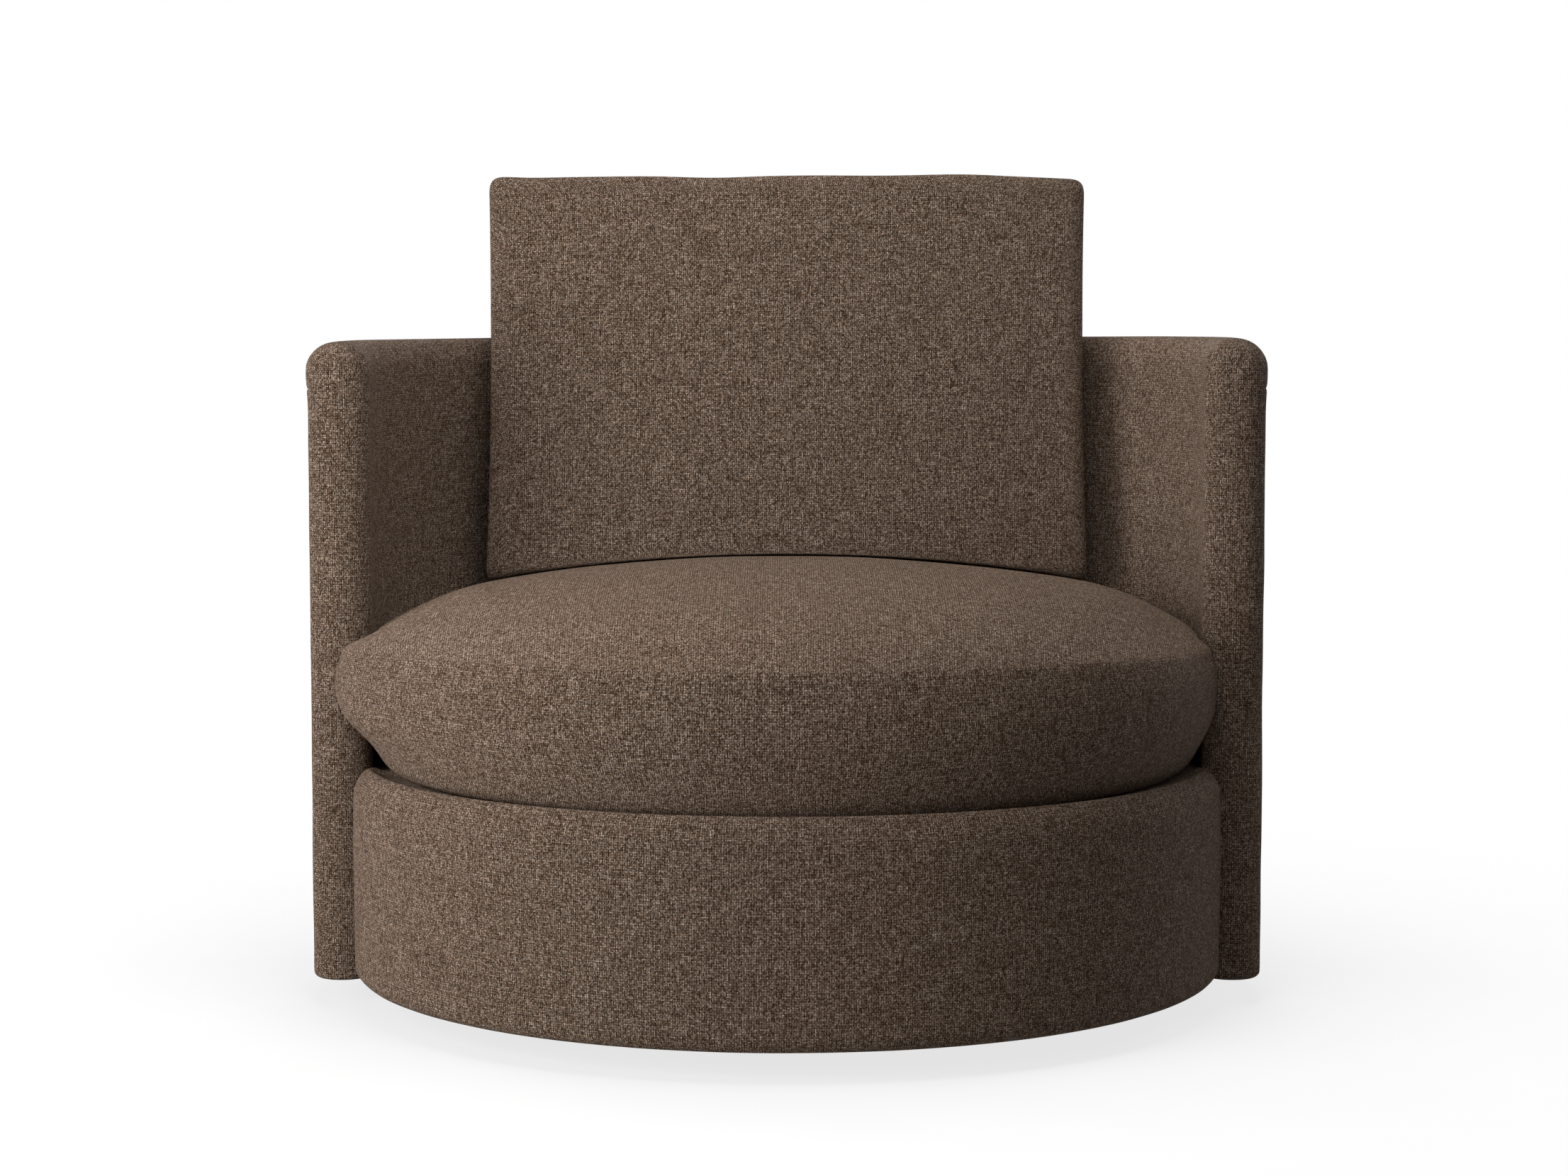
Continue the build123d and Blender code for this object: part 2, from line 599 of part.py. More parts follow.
with BuildPart() as spring_cloth:
    with BuildSketch(level(CLOTH_BOTTOM)):
        Circle(PANEL_RADIUS - FABRIC)
    extrude(amount=CLOTH)
save(spring_cloth, "spring_cloth")

with BuildPart() as deck_pad:
    with BuildSketch(level(PAD_BOTTOM)):
        draw_deck(GAP)
    extrude(amount=DECK_UNDER - GAP - PAD_BOTTOM)
save(deck_pad, "deck_pad")

with BuildPart() as deck_cover:
    with BuildSketch(level(DECK_UNDER)):
        draw_deck(0)
    extrude(amount=FABRIC)
save(deck_cover, "deck_cover")

# Front rail
with BuildPart() as front_rail_foam:
    add(front_rail(FABRIC + GAP))
    with BuildSketch(level(FLOOR_GAP)):
        Circle(PANEL_RADIUS + GAP)
    extrude(amount=PAD_BOTTOM - FLOOR_GAP, mode=Mode.SUBTRACT)
save(front_rail_foam, "front_rail_foam")

with BuildPart() as front_rail_cover:
    add(front_rail(0))
    add(front_rail(FABRIC), mode=Mode.SUBTRACT)
    with BuildSketch(level(FLOOR_GAP)):
        Circle(PANEL_RADIUS)
    extrude(amount=FABRIC, mode=Mode.SUBTRACT)
save(front_rail_cover, "front_rail_cover")

# Barrel upholstery
filling = barrel_wall(FABRIC + GAP)
under_rim = Plane.XY.offset(FRAME_TOP + GAP)
foam_front = Plane((0, BARREL_Y + BOARD_FRONT - GAP, 0), z_dir=(0, -1, 0))

with BuildPart() as top_roll_foam:
    add(filling)
    split(bisect_by=under_rim, keep=Keep.TOP)
save(top_roll_foam, "top_roll_foam")

for side, name in ((Keep.BOTTOM, "arm_front_foam_left"), (Keep.TOP, "arm_front_foam_right")):
    with BuildPart() as arm_front_foam:
        add(filling)
        split(bisect_by=under_rim.offset(-GAP), keep=Keep.BOTTOM)
        split(bisect_by=foam_front, keep=Keep.TOP)
        split(bisect_by=Plane.YZ, keep=side)
    save(arm_front_foam, name)

inside_zone = band(INNER_LINER_RADIUS - GAP, INNER_RADIUS, BOARD_FRONT, INSIDE_HEM, FRAME_TOP)
with BuildPart() as barrel_inside_foam:
    add(filling)
    add(inside_zone.part, mode=Mode.INTERSECT)
save(barrel_inside_foam, "barrel_inside_foam")

padding_zone = band(BARREL_RADIUS, OUTER_LINER_RADIUS + GAP, BOARD_FRONT, FRAME_BOTTOM, FRAME_TOP)
with BuildPart() as barrel_outside_padding:
    add(filling)
    add(padding_zone.part, mode=Mode.INTERSECT)
save(barrel_outside_padding, "barrel_outside_padding")

with BuildPart() as barrel_cover:
    add(barrel_wall(0))
    add(barrel_wall(FABRIC), mode=Mode.SUBTRACT)
    with BuildSketch(level(FLOOR_GAP)):
        draw_band(BARREL_RADIUS - HEM_WIDTH, INNER_RADIUS + HEM_WIDTH, HEM_WIDTH - ARM_REACH)
    extrude(amount=FABRIC, mode=Mode.SUBTRACT)

outside_zone = band(BARREL_RADIUS + CUT_MARGIN, MIDDLE_RADIUS, SEAM_FRONT, FLOOR_GAP, SEAM_HEIGHT)
seat_zone = band(MIDDLE_RADIUS, INNER_RADIUS - CUT_MARGIN, BOARD_FRONT, FLOOR_GAP, INSIDE_HEM)

with BuildPart() as outside_barrel_cover:
    add(barrel_cover.part)
    add(outside_zone.part, mode=Mode.INTERSECT)
save(outside_barrel_cover, "outside_barrel_cover")

with BuildPart() as inside_barrel_cover:
    add(barrel_cover.part)
    add(outside_zone.part, mode=Mode.SUBTRACT)
    add(seat_zone.part, mode=Mode.SUBTRACT)
save(inside_barrel_cover, "inside_barrel_cover")

with BuildPart() as dust_cover:
    with BuildSketch(level(FRAME_BOTTOM - DUST_COVER - GAP / 2)):
        draw_seat_frame(BARREL_RADIUS - HEM_WIDTH - FABRIC, 0)
        with Locations((0, -BARREL_Y)):
            Circle(DUST_COVER_HOLE, mode=Mode.SUBTRACT)
    extrude(amount=DUST_COVER)
save(dust_cover, "dust_cover")

# Seat cushion
zip_bottom = ZIP_HEIGHT - ZIP_GROOVE / 2
zip_top = ZIP_HEIGHT + ZIP_GROOVE / 2
zip_outer = INNER_RADIUS - CUSHION_CLEARANCE
zip_inner = zip_outer - ZIP_DEPTH
zip_front = INNER_RADIUS * math.sin(math.radians(ZIP_FRONT_ANGLE))
seat_zip_recess = band(INNER_RADIUS + CUT_MARGIN, zip_inner, zip_front, zip_bottom, zip_top)

with BuildPart() as seat_cushion_cover:
    add(seat_form(0))
    add(seat_form(FABRIC), mode=Mode.SUBTRACT)
    add(seat_zip_recess.part, mode=Mode.SUBTRACT)
save(seat_cushion_cover, "seat_cushion_cover")

with BuildPart() as seat_cushion_wrap:
    add(seat_form(FABRIC + GAP))
    add(seat_form(FABRIC + GAP + WRAP_THICKNESS), mode=Mode.SUBTRACT)
    add(seat_zip_recess.part, mode=Mode.SUBTRACT)
save(seat_cushion_wrap, "seat_cushion_wrap")

with BuildPart() as seat_cushion_core:
    add(seat_form(FABRIC + 2 * GAP + WRAP_THICKNESS))
save(seat_cushion_core, "seat_cushion_core")

seat_zip_tape = band(
    zip_inner + GAP + ZIP_TAPE, zip_inner + GAP, zip_front + GAP, zip_bottom + GAP, zip_top - GAP
)
save(seat_zip_tape, "seat_zip_tape")

with BuildPart() as seat_zip_slider:
    slider_radius = zip_inner + 2 * GAP + ZIP_TAPE + ZIP_SLIDER[1] / 2
    with BuildSketch(level(ZIP_HEIGHT - ZIP_SLIDER[2] / 2)):
        with PolarLocations(slider_radius, 1, ZIP_SLIDER_ANGLE):
            Rectangle(ZIP_SLIDER[1], ZIP_SLIDER[0])
    extrude(amount=ZIP_SLIDER[2])
    with BuildSketch(level(ZIP_HEIGHT - ZIP_SLIDER[2])):
        with PolarLocations(slider_radius, 1, ZIP_SLIDER_ANGLE):
            Rectangle(ZIP_SLIDER[1] / 3, ZIP_SLIDER[0] / 2)
    extrude(amount=ZIP_SLIDER[2] / 2)
save(seat_zip_slider, "seat_zip_slider")

# Back cushion
with BuildPart() as back_cushion_cover:
    add(back_form(0))
    add(back_form(FABRIC), mode=Mode.SUBTRACT)
    add(back_zip_recess(0, BACK_ZIP_TOP), mode=Mode.SUBTRACT)
save(back_cushion_cover, "back_cushion_cover")

with BuildPart() as back_cushion_filling:
    add(back_form(FABRIC + GAP))
    add(back_zip_recess(0, BACK_ZIP_TOP), mode=Mode.SUBTRACT)
save(back_cushion_filling, "back_cushion_filling")

with BuildPart() as back_zip_tape:
    add(back_zip_recess(GAP, BACK_ZIP_TOP - GAP))
    split(bisect_by=Plane.XY.offset(BACK_ZIP_TOP - GAP - ZIP_TAPE), keep=Keep.TOP)
save(back_zip_tape, "back_zip_tape")

with BuildPart() as back_zip_slider:
    slider_top = BACK_ZIP_TOP - 2 * GAP - ZIP_TAPE
    with BuildSketch(level(slider_top - ZIP_SLIDER[1])):
        with Locations((BACK_ZIP_CLOSED, BACK_ZIP_BEHIND)):
            Rectangle(ZIP_SLIDER[0], ZIP_SLIDER[2])
    extrude(amount=ZIP_SLIDER[1])
save(back_zip_slider, "back_zip_slider")
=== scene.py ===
import json
import math

import bpy
import numpy as np
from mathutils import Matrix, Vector, noise


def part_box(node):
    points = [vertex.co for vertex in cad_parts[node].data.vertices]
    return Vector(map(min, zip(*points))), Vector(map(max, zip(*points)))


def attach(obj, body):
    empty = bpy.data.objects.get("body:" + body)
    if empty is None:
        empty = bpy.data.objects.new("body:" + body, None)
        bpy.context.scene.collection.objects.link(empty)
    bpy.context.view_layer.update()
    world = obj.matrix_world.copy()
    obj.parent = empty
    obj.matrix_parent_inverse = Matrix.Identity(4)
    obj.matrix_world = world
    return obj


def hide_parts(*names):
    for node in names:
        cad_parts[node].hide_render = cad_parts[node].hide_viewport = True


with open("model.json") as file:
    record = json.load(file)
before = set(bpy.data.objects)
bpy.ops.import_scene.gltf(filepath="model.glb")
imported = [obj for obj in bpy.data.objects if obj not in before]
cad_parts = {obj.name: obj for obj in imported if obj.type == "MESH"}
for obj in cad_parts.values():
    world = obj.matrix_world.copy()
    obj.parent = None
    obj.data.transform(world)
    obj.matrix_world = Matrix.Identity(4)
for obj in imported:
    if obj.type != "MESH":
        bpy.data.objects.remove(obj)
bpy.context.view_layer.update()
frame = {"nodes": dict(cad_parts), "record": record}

# Sizes read from the frame, in metres. Shapes are drawn about the barrel's axis, front towards -y.
side_low, side_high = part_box("outside_barrel_cover")
inside_low, inside_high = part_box("inside_barrel_cover")
rail_low, rail_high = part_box("front_rail_cover")
seat_low, seat_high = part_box("seat_cushion_cover")
deck_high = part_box("deck_cover")[1]
cloth_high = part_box("spring_cloth")[1]
dust_low, dust_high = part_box("dust_cover")
BARREL_RADIUS = (side_high.x - side_low.x) / 2
AXIS_Y = side_high.y - BARREL_RADIUS
HEM_HEIGHT = side_low.z
SEAM_HEIGHT = side_high.z
ARM_HEIGHT = inside_high.z
ARM_FRONT = inside_low.y - AXIS_Y
RAIL_RADIUS = AXIS_Y - rail_low.y
RAIL_BACK = rail_high.y - AXIS_Y
DECK_HEIGHT = rail_high.z
SEAT_CROWN = seat_high.z
SEAT_UNDER = seat_low.z

# Sizes repeated from the part's source
WALL = 0.065
ARM_ROUND = 0.0315
RIM_ROUND = 0.030
HEM_ROUND = 0.008
HEM_WIDTH = 0.02
INSIDE_HEM = 0.215
RAIL_TOP_ROUND = 0.020
RAIL_HEM_ROUND = 0.018
ROLL_RADIUS = 0.405
DUST_HOLE = 0.2185
CLEARANCE = 0.0012
SEAT_SHOULDER = (0.330, 0.440)
SEAT_SEAM = (0.456, 0.393)
SEAT_BULGE = (0.464, 0.335)
SEAT_FOOT = (0.446, 0.270)
SEAT_REST_RADIUS = 0.414
BACK_WIDTH = 0.678
BACK_HEIGHT = 0.464
BACK_THICKNESS = 0.165
BACK_CORNER = 0.014
BACK_EDGE = 0.022
BACK_SIDE_DRAW = 0.005
BACK_TOP_DRAW = 0.003
BACK_CROWN_RADIUS = 1.8
BACK_LEAN = math.radians(10)
BACK_CENTRE = (0.226, 0.653)
ZIP_HEIGHT = 0.325
ZIP_GROOVE = 0.022
ZIP_DEPTH = 0.006
ZIP_START = math.radians(46)
ZIP_END = math.radians(134)
ZIP_TAPE = 0.0014
BACK_ZIP_BEHIND = 0.200
BACK_ZIP_TOP = 0.474
BACK_ZIP_HALF = 0.149

# How the cloth behaves
SEAM_TUCK = 0.0018
SOFT_CONTACT = 0.007
FILL_FRAMES = 20
FILL_PRESSURE = 4.0
FILL_REACH = 0.025

# a quarter turn in steps, for the rounded edges
QUARTER = np.linspace(0, math.pi / 2, 9)
INNER_RADIUS = BARREL_RADIUS - WALL
MIDDLE_RADIUS = BARREL_RADIUS - WALL / 2


class Cloth:
    """Cloth panels that share points along their seams. Each corner has its own place in the weave."""

    def __init__(self):
        self.points = np.zeros((0, 3))
        self.faces = []
        self.weave = []

    def lay(self, points):
        """Add points, and return their numbers in the same arrangement."""
        points = np.asarray(points, float)
        start = len(self.points)
        self.points = np.vstack([self.points, points.reshape(-1, 3)])
        return np.arange(start, len(self.points)).reshape(points.shape[:-1])

    def sew(self, numbers, weave, keep=None, flip=False):
        """Cover a grid of numbered points with faces. weave: each point's place in the cloth."""
        rows, columns = numbers.shape
        for row in range(rows - 1):
            for column in range(columns - 1):
                if keep is not None and not keep[row, column]:
                    continue
                corners = [(row, column), (row, column + 1), (row + 1, column + 1), (row + 1, column)]
                if flip:
                    corners.reverse()
                self.faces.append([int(numbers[corner]) for corner in corners])
                self.weave.extend(weave[corner] for corner in corners)

    def make(self, name):
        """Turn the panels into an object."""
        used, faces = np.unique(np.array(self.faces), return_inverse=True)
        points = self.points[used] + (0, AXIS_Y, 0)
        mesh = bpy.data.meshes.new(name)
        mesh.from_pydata(points.tolist(), [], faces.reshape(-1, 4).tolist())
        layer = mesh.uv_layers.new(name="weave")
        layer.data.foreach_set("uv", np.array(self.weave, float).ravel())
        mesh.shade_smooth()
        piece = bpy.data.objects.new(name, mesh)
        bpy.context.scene.collection.objects.link(piece)
        return piece


def ripple(points, size, seed):
    """Smooth unevenness between -1 and 1 at each point, with bumps of about the given size."""
    shift = Vector((seed * 7.3, seed * 3.1, seed * 5.7))
    flat = np.asarray(points).reshape(-1, 3)
    values = np.array([noise.noise(Vector(point) / size + shift) for point in flat])
    return values.reshape(np.asarray(points).shape[:-1])


def waves(points, parts):
    """Ripples added up, from the height, size and seed of each."""
    return sum(height * ripple(points, size, seed) for height, size, seed in parts)


def bump(value, place, width):
    """1 at a place, falling away smoothly on both sides."""
    return np.exp(-(((value - place) / width) ** 2))


def ease(value, low, high):
    """Smooth step from 0 at low to 1 at high."""
    share = np.clip((value - low) / (high - low), 0, 1)
    return share * share * (3 - 2 * share)


def turn_from(angle, place):
    """Angle from a place, the shorter way round."""
    return (angle - place + math.pi) % (2 * math.pi) - math.pi


def lengths(points):
    """Distance along a row of points, from 0."""
    return np.concatenate([[0], np.cumsum(np.linalg.norm(np.diff(points, axis=0), axis=1))])


def pair(first, second):
    """Two arrays of numbers as one array of pairs."""
    return np.stack(np.broadcast_arrays(first, second), -1)


def polar(radius, angle, height=0.0):
    """Points from distances and angles about the axis, and heights."""
    return np.stack(np.broadcast_arrays(radius * np.cos(angle), radius * np.sin(angle), height), -1)


def arc(start, heading, end, steps):
    """Points of the arc that leaves start at a heading and reaches end, and the heading there."""
    start = np.array(start)
    chord = np.array(end) - start
    half_turn = turn_from(math.atan2(chord[1], chord[0]), heading)
    turn = half_turn * np.linspace(0, 1, steps + 1)
    reach = np.hypot(*chord) * np.sin(turn) / math.sin(half_turn)
    points = start + reach[:, None] * pair(np.cos(heading + turn), np.sin(heading + turn))
    return points, heading + 2 * half_turn


def circle_through(first, second, third):
    """Centre and radius of the circle through three points."""
    first, second, third = np.array(first), np.array(second), np.array(third)
    rows = np.array([second - first, third - first])
    sums = np.array([second @ second - first @ first, third @ third - first @ first]) / 2
    centre = np.linalg.solve(rows, sums)
    return centre, np.hypot(*(first - centre))


def disc_grid(steps):
    """A square grid drawn onto a disc: each point's distance from the middle, 0 to 1, and its angle."""
    line = np.linspace(-1, 1, steps + 1)
    across, along = np.meshgrid(line, line)
    wide = abs(across) >= abs(along)
    reach = np.where(wide, across, along)
    other = np.where(wide, along, across)
    slope = math.pi / 4 * other / np.where(reach == 0, 1, reach)
    turn = np.where(wide, slope, math.pi / 2 - slope)
    return abs(reach), np.arctan2(reach * np.sin(turn), reach * np.cos(turn))


def edge_of(grid):
    """The border of a grid, as one loop that starts at its first corner."""
    sides = [grid[0, :-1], grid[:-1, -1], grid[-1, :0:-1], grid[:0:-1, 0]]
    return np.concatenate(sides)


def closed(rows):
    """Repeat the first column of a grid at its end."""
    return np.concatenate([rows, rows[:, :1]], axis=1)


def soften(depth):
    """Turn a distance to something touched, negative inside it, into one that never goes inside."""
    return (depth + np.sqrt(depth**2 + SOFT_CONTACT**2)) / 2


# The barrel: one outline round the wall's plan, repeated at each height

ARC_STEPS = 240
CORNER_STEPS = 12
SEAM_STEP = 0.002
ROW_GAP = 0.0005
# slow waves of the padding: height, size and seed of each
WALL_WAVES = ((0.0010, 0.17, 1), (0.0005, 0.06, 2))
RIM_WAVES = ((0.0016, 0.22, 3),)
# how far below the rim its waves reach
RIM_SOFT = 0.08
# the full roll on the outside: how far it stands out, where below the rim, and how wide
RIM_ROLL = 0.002
RIM_ROLL_DROP = 0.038
RIM_ROLL_WIDTH = 0.022
# the left arm's padding has settled a little, more and more between two distances from the middle
LEFT_SETTLED = 0.0035
LEFT_SIDE = (0.2, 0.42)


def wall_outline():
    """Points round the plan of the wall, and the outward direction at each."""
    corner_y = ARM_FRONT + ARM_ROUND
    outer_x = math.sqrt((BARREL_RADIUS - ARM_ROUND) ** 2 - corner_y**2)
    inner_x = math.sqrt((INNER_RADIUS + ARM_ROUND) ** 2 - corner_y**2)
    outer_end = math.atan2(corner_y, outer_x)
    inner_end = math.atan2(corner_y, inner_x)
    down = math.pi * 1.5
    parts = [
        (0, 0, BARREL_RADIUS, outer_end, math.pi - outer_end, ARC_STEPS, False, 1),
        (-outer_x, corner_y, ARM_ROUND, math.pi - outer_end, down, CORNER_STEPS, True, 1),
        (-inner_x, corner_y, ARM_ROUND, down, 2 * math.pi - inner_end, CORNER_STEPS, False, 1),
        (0, 0, INNER_RADIUS, math.pi - inner_end, inner_end, ARC_STEPS, False, -1),
        (inner_x, corner_y, ARM_ROUND, math.pi + inner_end, down, CORNER_STEPS, True, 1),
        (outer_x, corner_y, ARM_ROUND, down, 2 * math.pi + outer_end, CORNER_STEPS, False, 1),
    ]
    points = []
    outward = []
    for x, y, radius, start, end, steps, with_end, sign in parts:
        turn = np.linspace(start, end, steps + 1)
        turn = turn if with_end else turn[:-1]
        direction = pair(np.cos(turn), np.sin(turn))
        points.append(direction * radius + (x, y))
        outward.append(direction * sign)
    return np.concatenate(points), np.concatenate(outward)


def wall_profile():
    """Distance drawn in and height of each row of the wall, from the hem to the crest."""
    hem = pair(HEM_ROUND * (1 - np.sin(QUARTER)), HEM_HEIGHT + HEM_ROUND * (1 - np.cos(QUARTER)))
    rim_start = ARM_HEIGHT - RIM_ROUND
    rim = pair(RIM_ROUND * (1 - np.cos(QUARTER)), rim_start + RIM_ROUND * np.sin(QUARTER))
    heights = np.concatenate(
        [
            np.linspace(HEM_HEIGHT + HEM_ROUND, INSIDE_HEM, 16)[1:],
            np.linspace(INSIDE_HEM, SEAM_HEIGHT - 3 * SEAM_STEP, 36)[1:],
            [SEAM_HEIGHT - SEAM_STEP, SEAM_HEIGHT, SEAM_HEIGHT + SEAM_STEP],
        ]
    )
    heights = heights[heights < rim_start - ROW_GAP]
    side = pair(0, heights)
    return np.concatenate([[(HEM_WIDTH, HEM_HEIGHT)], hem, side, rim])


def barrel():
    """The inside cover, which rolls over the rim and round the arm fronts, and the outside panel."""
    plan, outward = wall_outline()
    profile = wall_profile()
    count = len(plan)
    along = lengths(np.concatenate([plan, plan[:1]]))
    up = lengths(profile) + HEM_HEIGHT
    rows = len(profile)
    points = np.zeros((rows, count, 3))
    points[:, :, :2] = plan - profile[:, 0, None, None] * outward
    points[:, :, 2] = profile[:, 1, None]

    # upholstery is never quite true: a full roll under the rim, and slow waves
    height = points[:, :, 2]
    outside = np.arange(count) <= ARC_STEPS
    roll = RIM_ROLL * bump(height, ARM_HEIGHT - RIM_ROLL_DROP, RIM_ROLL_WIDTH) * outside
    swell = roll + waves(points, WALL_WAVES)
    points[:, :, :2] += swell[:, :, None] * outward
    settled = LEFT_SETTLED * ease(-points[:, :, 0], *LEFT_SIDE)
    lift = (waves(points, RIM_WAVES) - settled) * ease(height, ARM_HEIGHT - RIM_SOFT, ARM_HEIGHT)
    points[:, :, 2] += lift

    seam_row = int(np.argmin(abs(profile[:, 1] - SEAM_HEIGHT) + profile[:, 0]))
    hem_row = int(np.argmin(abs(profile[:, 1] - INSIDE_HEM) + profile[:, 0]))
    inner_start = ARC_STEPS + 2 * CORNER_STEPS + 1
    row_number, column_number = np.mgrid[0 : rows - 1, 0:count]
    is_outside = (column_number < ARC_STEPS) & (row_number < seam_row)
    behind_seat = (column_number >= inner_start) & (column_number < inner_start + ARC_STEPS)
    is_open = behind_seat & (row_number < hem_row)

    # both panels turn in where they are sewn together
    tucked = points.copy()
    tuck = np.zeros((rows, count))
    tuck[seam_row, : ARC_STEPS + 1] = SEAM_TUCK
    tuck[: seam_row + 1, [0, ARC_STEPS]] = SEAM_TUCK
    tucked[:, :, :2] -= tuck[:, :, None] * outward

    weave = pair(along[None, :], up[:, None])
    inside = Cloth()
    numbers = inside.lay(tucked)
    inside.sew(closed(numbers), weave, keep=~is_outside & ~is_open)
    left = ARC_STEPS + CORNER_STEPS
    steps = np.arange(count // 2)
    near = numbers[-1, (left - steps) % count]
    far = numbers[-1, (left + 1 + steps) % count]
    over_crest = up[-1] + np.array([[0], [WALL - 2 * RIM_ROUND]])
    crest = pair(along[(left - steps) % count][None, :], over_crest)
    inside.sew(np.stack([near, far]), crest, flip=True)

    panel = Cloth()
    panel.sew(closed(panel.lay(tucked)), weave, keep=is_outside)
    return inside.make("barrel_inside"), panel.make("barrel_outside")


# The front rail and the sheets

RAIL_STEPS = 200
RAIL_END_ROUND = 0.007
RAIL_HEM_WIDTH = 0.03
RAIL_FULLNESS = 0.0012
RAIL_WAVES = ((0.0010, 0.15, 4), (0.0005, 0.05, 5))
# points stand closer together at the ends of the rail
END_BUNCHING = 0.006
# the rail's padding stands up round the cushion's foot
LIP_RADIUS = 0.452
LIP_HEIGHT = 0.010
LIP_WIDTH = 0.012
LIP_START = (DECK_HEIGHT - 0.04, DECK_HEIGHT - 0.008)
SHEET_STEPS = 56
SHEET_UNEVENNESS = 0.4
SHEET_WAVE = 0.12
# where the sheets widen behind the arm fronts
DECK_WIDENS = (RAIL_BACK + 0.002, RAIL_BACK + 0.03)
DUST_WIDENS = (-0.08, -0.03)
DUST_SLACK = 0.0016
DUST_WAVES = ((0.001, 0.05, 8),)


def front_rail():
    """The padded band under the seat cushion, round the front between the arms."""
    hem = pair(
        RAIL_RADIUS - RAIL_HEM_ROUND * (1 - np.sin(QUARTER)),
        HEM_HEIGHT + RAIL_HEM_ROUND * (1 - np.cos(QUARTER)),
    )
    top = pair(
        RAIL_RADIUS - RAIL_TOP_ROUND * (1 - np.cos(QUARTER)),
        DECK_HEIGHT - RAIL_TOP_ROUND * (1 - np.sin(QUARTER)),
    )
    side = pair(RAIL_RADIUS, np.linspace(hem[-1, 1], top[0, 1], 18)[1:-1])
    inward = pair(np.linspace(RAIL_RADIUS - RAIL_TOP_ROUND, ROLL_RADIUS, 9)[1:], DECK_HEIGHT)
    profile = np.concatenate([[(RAIL_RADIUS - RAIL_HEM_WIDTH, HEM_HEIGHT)], hem, side, top, inward])
    lip = LIP_HEIGHT * bump(profile[:, 0], LIP_RADIUS, LIP_WIDTH)
    profile[:, 1] += lip * ease(profile[:, 1], *LIP_START)
    share = np.linspace(0, 1, RAIL_STEPS + 1)
    spread = share + END_BUNCHING * np.sin(2 * math.pi * share)
    radius = profile[:, 0, None]
    end = np.arcsin(abs(RAIL_BACK) / radius)
    angle = -end - (math.pi - 2 * end) * spread[None, :]
    from_end = np.minimum(spread, 1 - spread)[None, :] * (math.pi - 2 * end) * radius
    inner = np.clip(1 - from_end / RAIL_END_ROUND, 0, 1)
    turned_in = RAIL_END_ROUND * (1 - np.sqrt(1 - inner**2))
    height = profile[:, 1, None]
    full = np.sin(math.pi * np.clip((height - HEM_HEIGHT) / (DECK_HEIGHT - HEM_HEIGHT), 0, 1))
    swell = RAIL_FULLNESS * full + waves(polar(radius, angle, height), RAIL_WAVES)
    points = polar(radius + swell - turned_in, angle, height)
    rail = Cloth()
    weave = pair(-angle * RAIL_RADIUS, lengths(profile)[:, None])
    rail.sew(rail.lay(points), weave, flip=True)
    return rail.make("front_rail")


def deck_reach(angle, front, behind):
    """Radius of the deck's outline at an angle: wider behind the arm fronts than ahead of them."""
    y = front * np.sin(angle)
    return front + (behind - front) * ease(y, *DECK_WIDENS)


def round_sheet(name, front, behind, height, thickness, sag, seed):
    """A stretched sheet that fills the barrel's plan, turned down at its edge."""
    reach, angle = disc_grid(SHEET_STEPS)
    flat = polar(reach * deck_reach(angle, front, behind), angle)
    give = sag * (1 - reach**2) * (1 + SHEET_UNEVENNESS * ripple(flat, SHEET_WAVE, seed))
    flat[:, :, 2] = height - give
    sheet = Cloth()
    numbers = sheet.lay(flat)
    sheet.sew(numbers, flat[:, :, :2])
    edge = edge_of(flat)
    hem = np.stack([edge_of(numbers), sheet.lay(edge - (0, 0, thickness))])
    along = lengths(np.concatenate([edge, edge[:1]]))
    sheet.sew(closed(hem), pair(along[None, :], np.array([[0], [thickness]])), flip=True)
    return sheet.make(name), float(np.pi * (front**2 + behind**2) / 2)


def dust_cover():
    """Thin cloth stapled under the frame, slack between its hole and its edge."""
    share = np.linspace(0, 1, 14)[:, None]
    angle = np.linspace(0, 2 * math.pi, 181)[:-1]
    front = AXIS_Y - dust_low.y
    outer = front + (dust_high.x - front) * ease(np.sin(angle), *DUST_WIDENS)
    radius = DUST_HOLE + (outer - DUST_HOLE) * share
    points = polar(radius, angle)
    points[:, :, 1] -= AXIS_Y * (1 - share)
    slack = np.sin(math.pi * share) * (DUST_SLACK + waves(points, DUST_WAVES))
    points[:, :, 2] = dust_low.z - slack
    cover = Cloth()
    cover.sew(closed(cover.lay(points)), closed(points)[:, :, :2])
    return cover.make("under_cover"), math.pi * (np.mean(outer**2) - DUST_HOLE**2)


# The cushions

SEAT_STEPS = 96
BORDER_HEIGHTS = (
    0.389, 0.384, 0.377, 0.369, 0.360, 0.350, 0.343, 0.3375, 0.3355,
    0.325, 0.3145, 0.3125, 0.305, 0.297, 0.289, 0.281,
)
# places where the border spills further over an arm front or is held back: angle, how far, how wide
SEAT_SPILL = ((-2.86, 0.021, 0.24), (-0.26, -0.003, 0.22))
# how far the border's lower edge is drawn under, and how far out and how high that reaches
SEAT_TUCK = 0.007
TUCK_REACH = (0.40, 0.44)
TUCK_TOP = SEAT_BULGE[1] - 0.015
# the top sinks beside the arms: angle, how far, how wide
SEAT_SINK = ((-0.17, 0.010, 0.52), (-2.97, 0.009, 0.52))
SINK_REACH = (0.34, 0.45)
SINK_HEIGHTS = (0.34, 0.39)
# heights between which the border gives way to the top, and the top's waves begin
SIDE_END = (0.39, 0.43)
WAVE_START = (0.38, 0.43)
SEAT_TOP_WAVES = ((0.0016, 0.14, 11),)
SEAT_SIDE_WAVES = ((0.0012, 0.09, 12),)
# the turn in which the zip's groove reaches its depth
GROOVE_END = 0.01
